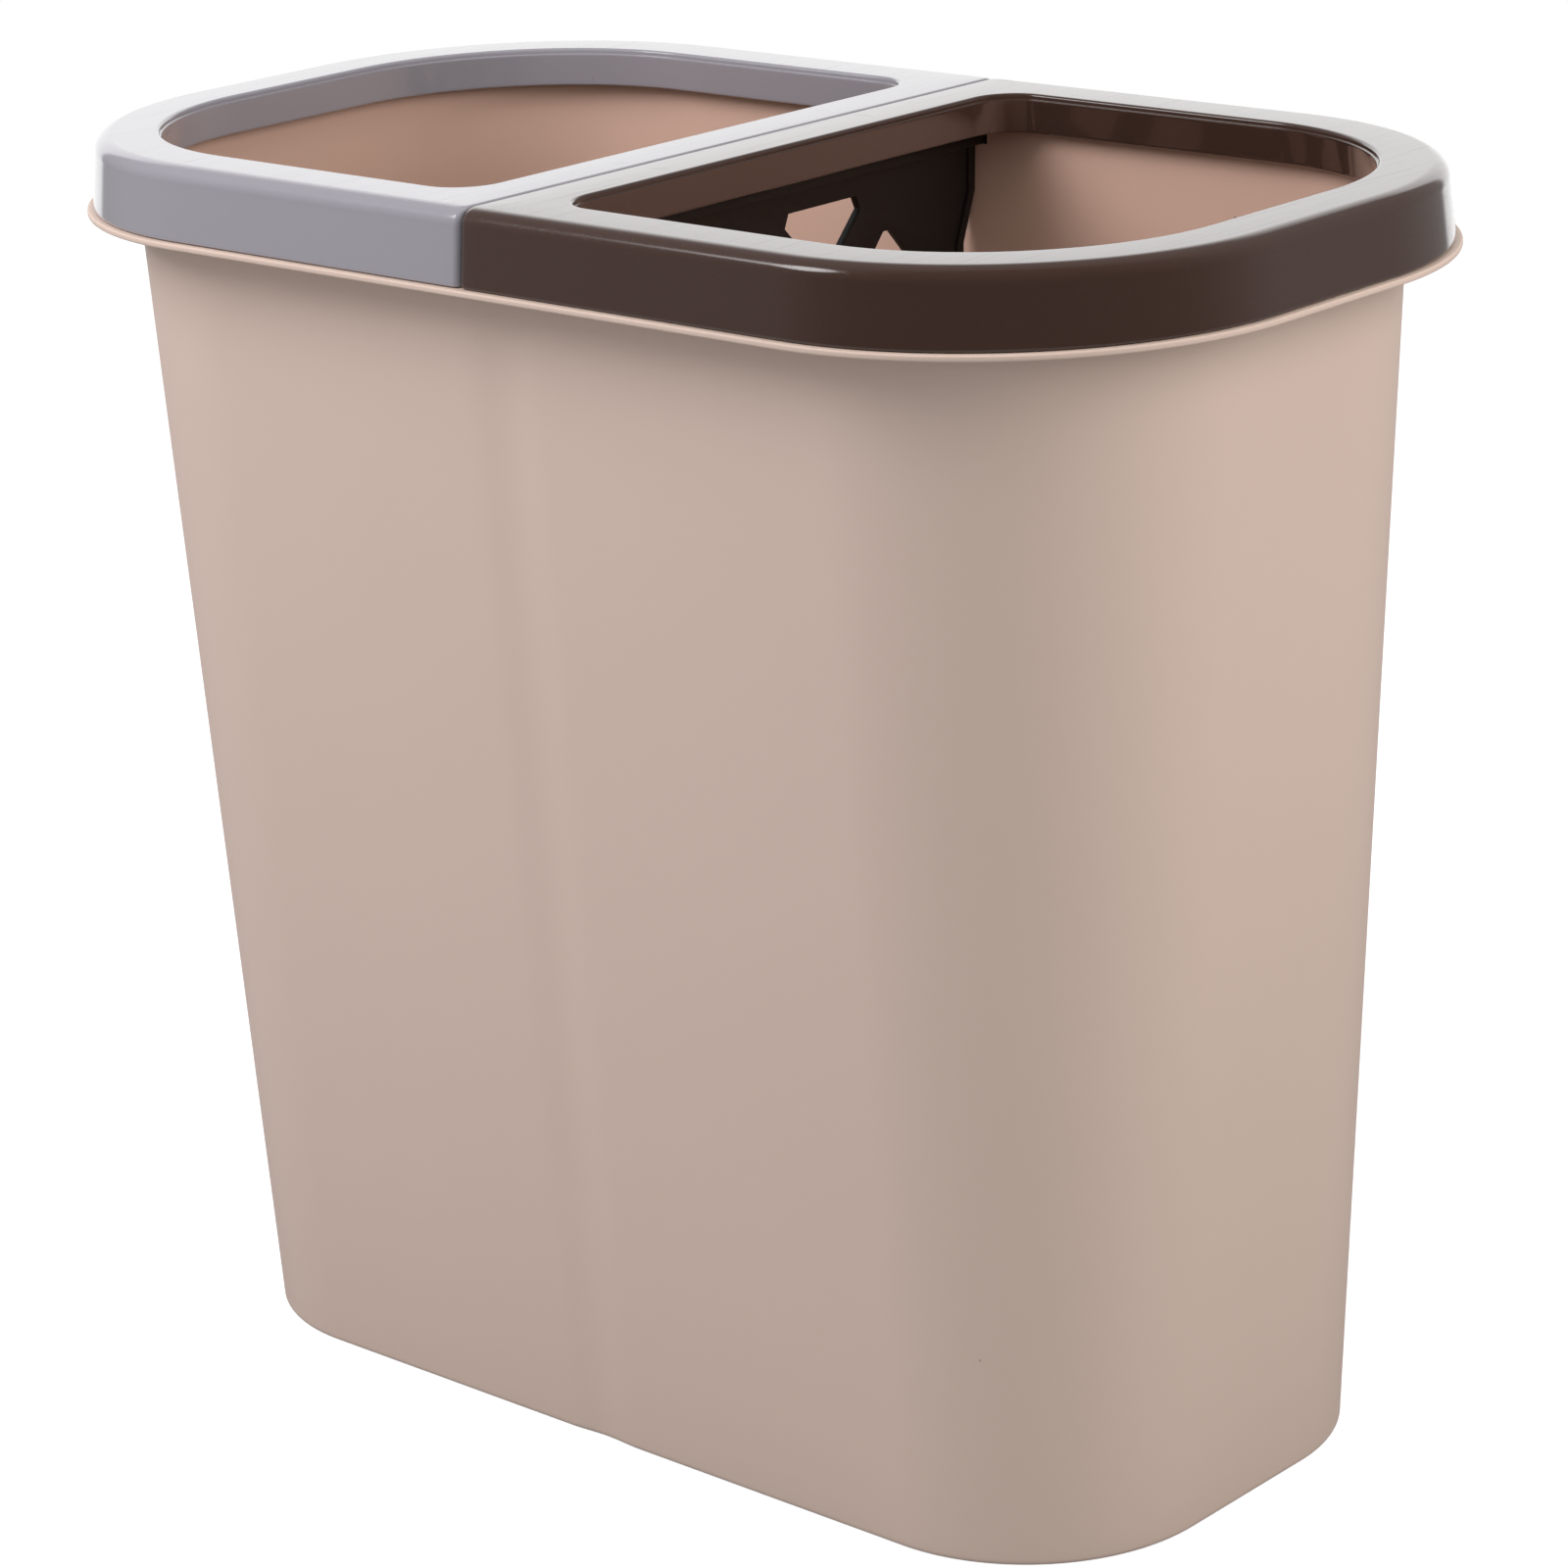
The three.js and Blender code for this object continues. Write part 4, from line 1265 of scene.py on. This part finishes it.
def polished_plastic(name, colour, dust_colour):
    """Polished skin with moulding ripples, hairlines along the bars, dust and arc marks."""
    plastic = Plastic(name, 0.13)
    tone = plastic.effect("slow drift", size=0.06, spread=0.02)
    dust = plastic.effect("specks", spacing=0.016, size=0.00045, share=0.3)
    plastic.colour(linear(colour)[:3], tone, dust, dust_colour)
    along = plastic.effect("hairlines", turn=0.02, length=0.05, width=0.0007, cut=0.6)
    aslant = plastic.effect("hairlines", turn=1.2, length=0.02, width=0.0006, cut=0.7)
    plastic.roughen(along, 0.14)
    plastic.roughen(aslant, 0.12)
    plastic.roughen(dust, 0.4)
    plastic.emboss(plastic.effect("slow drift", size=0.011, spread=0.5), 0.02 * MM)
    plastic.emboss(along, 0.006 * MM)
    for reach in (0.042, 0.106):
        plastic.emboss(plastic.effect("crescents", along=reach), 0.12 * MM)
    plastic.shader.inputs["Coat Weight"].default_value = 1.0
    plastic.shader.inputs["Coat Roughness"].default_value = 0.06
    return plastic.finish()


# ---------------------------------------------------------------- stage
def level_direction(stage, degrees=0.0):
    """Level direction away from the bin, at an angle to the right of the camera's."""
    bearing = stage.azimuth + math.radians(degrees)
    return Vector((math.sin(bearing), -math.cos(bearing), 0.0))


def camera_axes(stage):
    """Camera's place and its right, down and forward directions."""
    away = level_direction(stage) * math.cos(stage.elevation)
    away.z = math.sin(stage.elevation)
    forward = -away
    right = forward.cross(Vector((0, 0, 1))).normalized()
    down = forward.cross(right)
    target = Vector((0, 0, stage.target_height))
    target += right * stage.slide_right + down * stage.slide_down
    turn = math.cos(stage.roll), math.sin(stage.roll)
    rolled_right = right * turn[0] + down * turn[1]
    rolled_down = down * turn[0] - right * turn[1]
    return target + away * stage.reach, rolled_right, rolled_down, forward


def set_camera(stage):
    place, right, down, forward = camera_axes(stage)
    data = bpy.data.cameras.new("photograph camera")
    data.sensor_fit = "HORIZONTAL"
    data.sensor_width = SENSOR_WIDTH
    data.lens = stage.lens
    data.clip_start = 0.05
    camera = mesh_object("photograph camera", data)
    axes = Matrix((right, -down, -forward)).transposed().to_4x4()
    camera.matrix_world = Matrix.Translation(place) @ axes
    bpy.context.scene.camera = camera


def set_floor(colour, glow):
    """Pale floor: white to the camera except where the bin shades it, dim to glossy rays."""
    mesh = bpy.data.meshes.new("studio floor")
    half = FLOOR_HALF
    corners = [(-half, -half, 0), (half, -half, 0), (half, half, 0), (-half, half, 0)]
    mesh.from_pydata(corners, [], [(0, 1, 2, 3)])
    floor = mesh_object("studio_floor", mesh)
    material, graph, shader = principled("pale floor")
    path = graph.add("ShaderNodeLightPath").outputs
    tone = graph.blend_colour(path["Is Glossy Ray"], linear(colour), MIRRORED_FLOOR)
    graph.feed(shader.inputs["Base Color"], tone)
    shader.inputs["Roughness"].default_value = 0.9
    shader.inputs["Specular IOR Level"].default_value = 0.0
    shader.inputs["Emission Strength"].default_value = glow
    graph.feed(shader.inputs["Emission Color"], path["Is Camera Ray"])
    mesh.materials.append(material)


def set_world(stage):
    """White to the camera, even light to diffuse rays, and to glossy rays a studio with a
    bright backdrop behind the bin, a small lamp on the left and a dark room in front."""
    world = bpy.data.worlds.new("studio")
    bpy.context.scene.world = world
    world.use_nodes = True
    tree = world.node_tree
    tree.nodes.clear()
    graph = Graph(tree)
    direction = graph.add("ShaderNodeTexCoord").outputs["Generated"]

    def along(other):
        return graph.add("ShaderNodeVectorMath", {
            0: direction, 1: tuple(other),
        }, operation="DOT_PRODUCT").outputs["Value"]

    up = graph.split(direction)["Z"]
    level = graph.minus(1.0, graph.times(up, up))
    level = graph.math("SQRT", graph.math("MAXIMUM", level, 0.0001))
    bearing = graph.math("DIVIDE", along(level_direction(stage)), level)

    room = graph.smooth(bearing, 0.7, -0.3, stage.room_front, stage.room_back)
    backdrop = graph.smooth(bearing, -0.79, -0.85, 0.0, stage.backdrop)
    low = graph.smooth(up, 0.72, 0.45)
    glossy = graph.plus(room, graph.times(backdrop, low))
    beside = level_direction(stage, -84) + Vector((0.0, 0.0, 0.78))
    glint = graph.smooth(along(beside.normalized()), 0.980, 0.992, 0.0, stage.glint)
    glossy = graph.plus(glossy, glint)

    path = graph.add("ShaderNodeLightPath").outputs
    unseen = graph.blend(path["Is Glossy Ray"], stage.ambient, glossy)
    background = graph.add("ShaderNodeBackground", {
        "Color": graph.blend_colour(path["Is Diffuse Ray"], (1, 1, 1, 1), AMBIENT_TINT),
        "Strength": graph.blend(path["Is Camera Ray"], unseen, 1.0),
    })
    output = graph.add("ShaderNodeOutputWorld")
    tree.links.new(background.outputs[0], output.inputs["Surface"])


def softbox(name, place, power, tint):
    """Soft area lamp that shows neither to the camera nor in reflections."""
    data = bpy.data.lights.new(name, "AREA")
    data.shape = "SQUARE"
    data.size = SOFTBOX_SIZE
    data.energy = power
    data.color = tint
    lamp = mesh_object(name, data)
    away = (place - Vector((0.0, 0.0, SOFTBOX_AIM))).normalized()
    turn = away.to_track_quat("Z", "Y").to_matrix().to_4x4()
    lamp.matrix_world = Matrix.Translation(place) @ turn
    lamp.visible_camera = False
    lamp.visible_glossy = False


def set_lamps(stage):
    """Softboxes to the camera's left and right and one overhead, so that the corner that
    faces the camera is the darkest part of the wall."""
    for name, degrees, away, height, power, tint in (
        ("left softbox", -76, 0.8, 1.0, stage.left_power, (1.0, 1.0, 1.12)),
        ("right softbox", 61, 0.85, 0.7, stage.right_power, (1.02, 1.0, 1.05)),
        ("overhead softbox", 0, 0.4, 1.4, stage.overhead_power, (1.0, 0.97, 0.93)),
    ):
        place = level_direction(stage, degrees) * away + Vector((0.0, 0.0, height))
        softbox(name, place, power, tint)


class BIN_OT_make_stage(bpy.types.Operator):
    """Set the floor, the camera and the light"""

    bl_idname = "recycling_bin.make_stage"
    bl_label = "Stage"

    def execute(self, context):
        stage = context.scene.bin_stage
        set_camera(stage)
        set_floor(context.scene.bin_finishes.floor, stage.floor_glow)
        set_world(stage)
        set_lamps(stage)
        context.scene.view_settings.view_transform = "Standard"
        return {"FINISHED"}


# ---------------------------------------------------------------- panel and registration
class BIN_PT_panel(bpy.types.Panel):
    """Lists the bin's pieces and the sizes and colours that they are built from"""

    bl_idname = "BIN_PT_panel"
    bl_label = "Recycling Bin"
    bl_space_type = "VIEW_3D"
    bl_region_type = "UI"
    bl_category = "Recycling Bin"

    def draw(self, context):
        layout = self.layout
        for operator in OPERATORS:
            layout.operator(operator.bl_idname)
        for name in GROUPS:
            settings = getattr(context.scene, name)
            box = layout.box()
            for key in settings.bl_rna.properties.keys():
                if key not in ("rna_type", "name"):
                    box.prop(settings, key)


GROUPS = {
    "bin_body": BodySizes,
    "bin_rings": RingSizes,
    "bin_divider": DividerSizes,
    "bin_finishes": Finishes,
    "bin_stage": StageSettings,
}
OPERATORS = (BIN_OT_make_body, BIN_OT_make_divider, BIN_OT_make_rings, BIN_OT_make_stage)
CLASSES = (*GROUPS.values(), *OPERATORS, BIN_PT_panel)


def register():
    for cls in CLASSES:
        bpy.utils.register_class(cls)
    for name, group in GROUPS.items():
        setattr(bpy.types.Scene, name, PointerProperty(type=group))


def unregister():
    for name in GROUPS:
        delattr(bpy.types.Scene, name)
    for cls in reversed(CLASSES):
        bpy.utils.unregister_class(cls)


def main():
    register()
    bpy.ops.recycling_bin.make_stage()
    bpy.ops.recycling_bin.make_body()
    bpy.ops.recycling_bin.make_divider()
    bpy.ops.recycling_bin.make_rings()


if __name__ == "__main__":
    main()
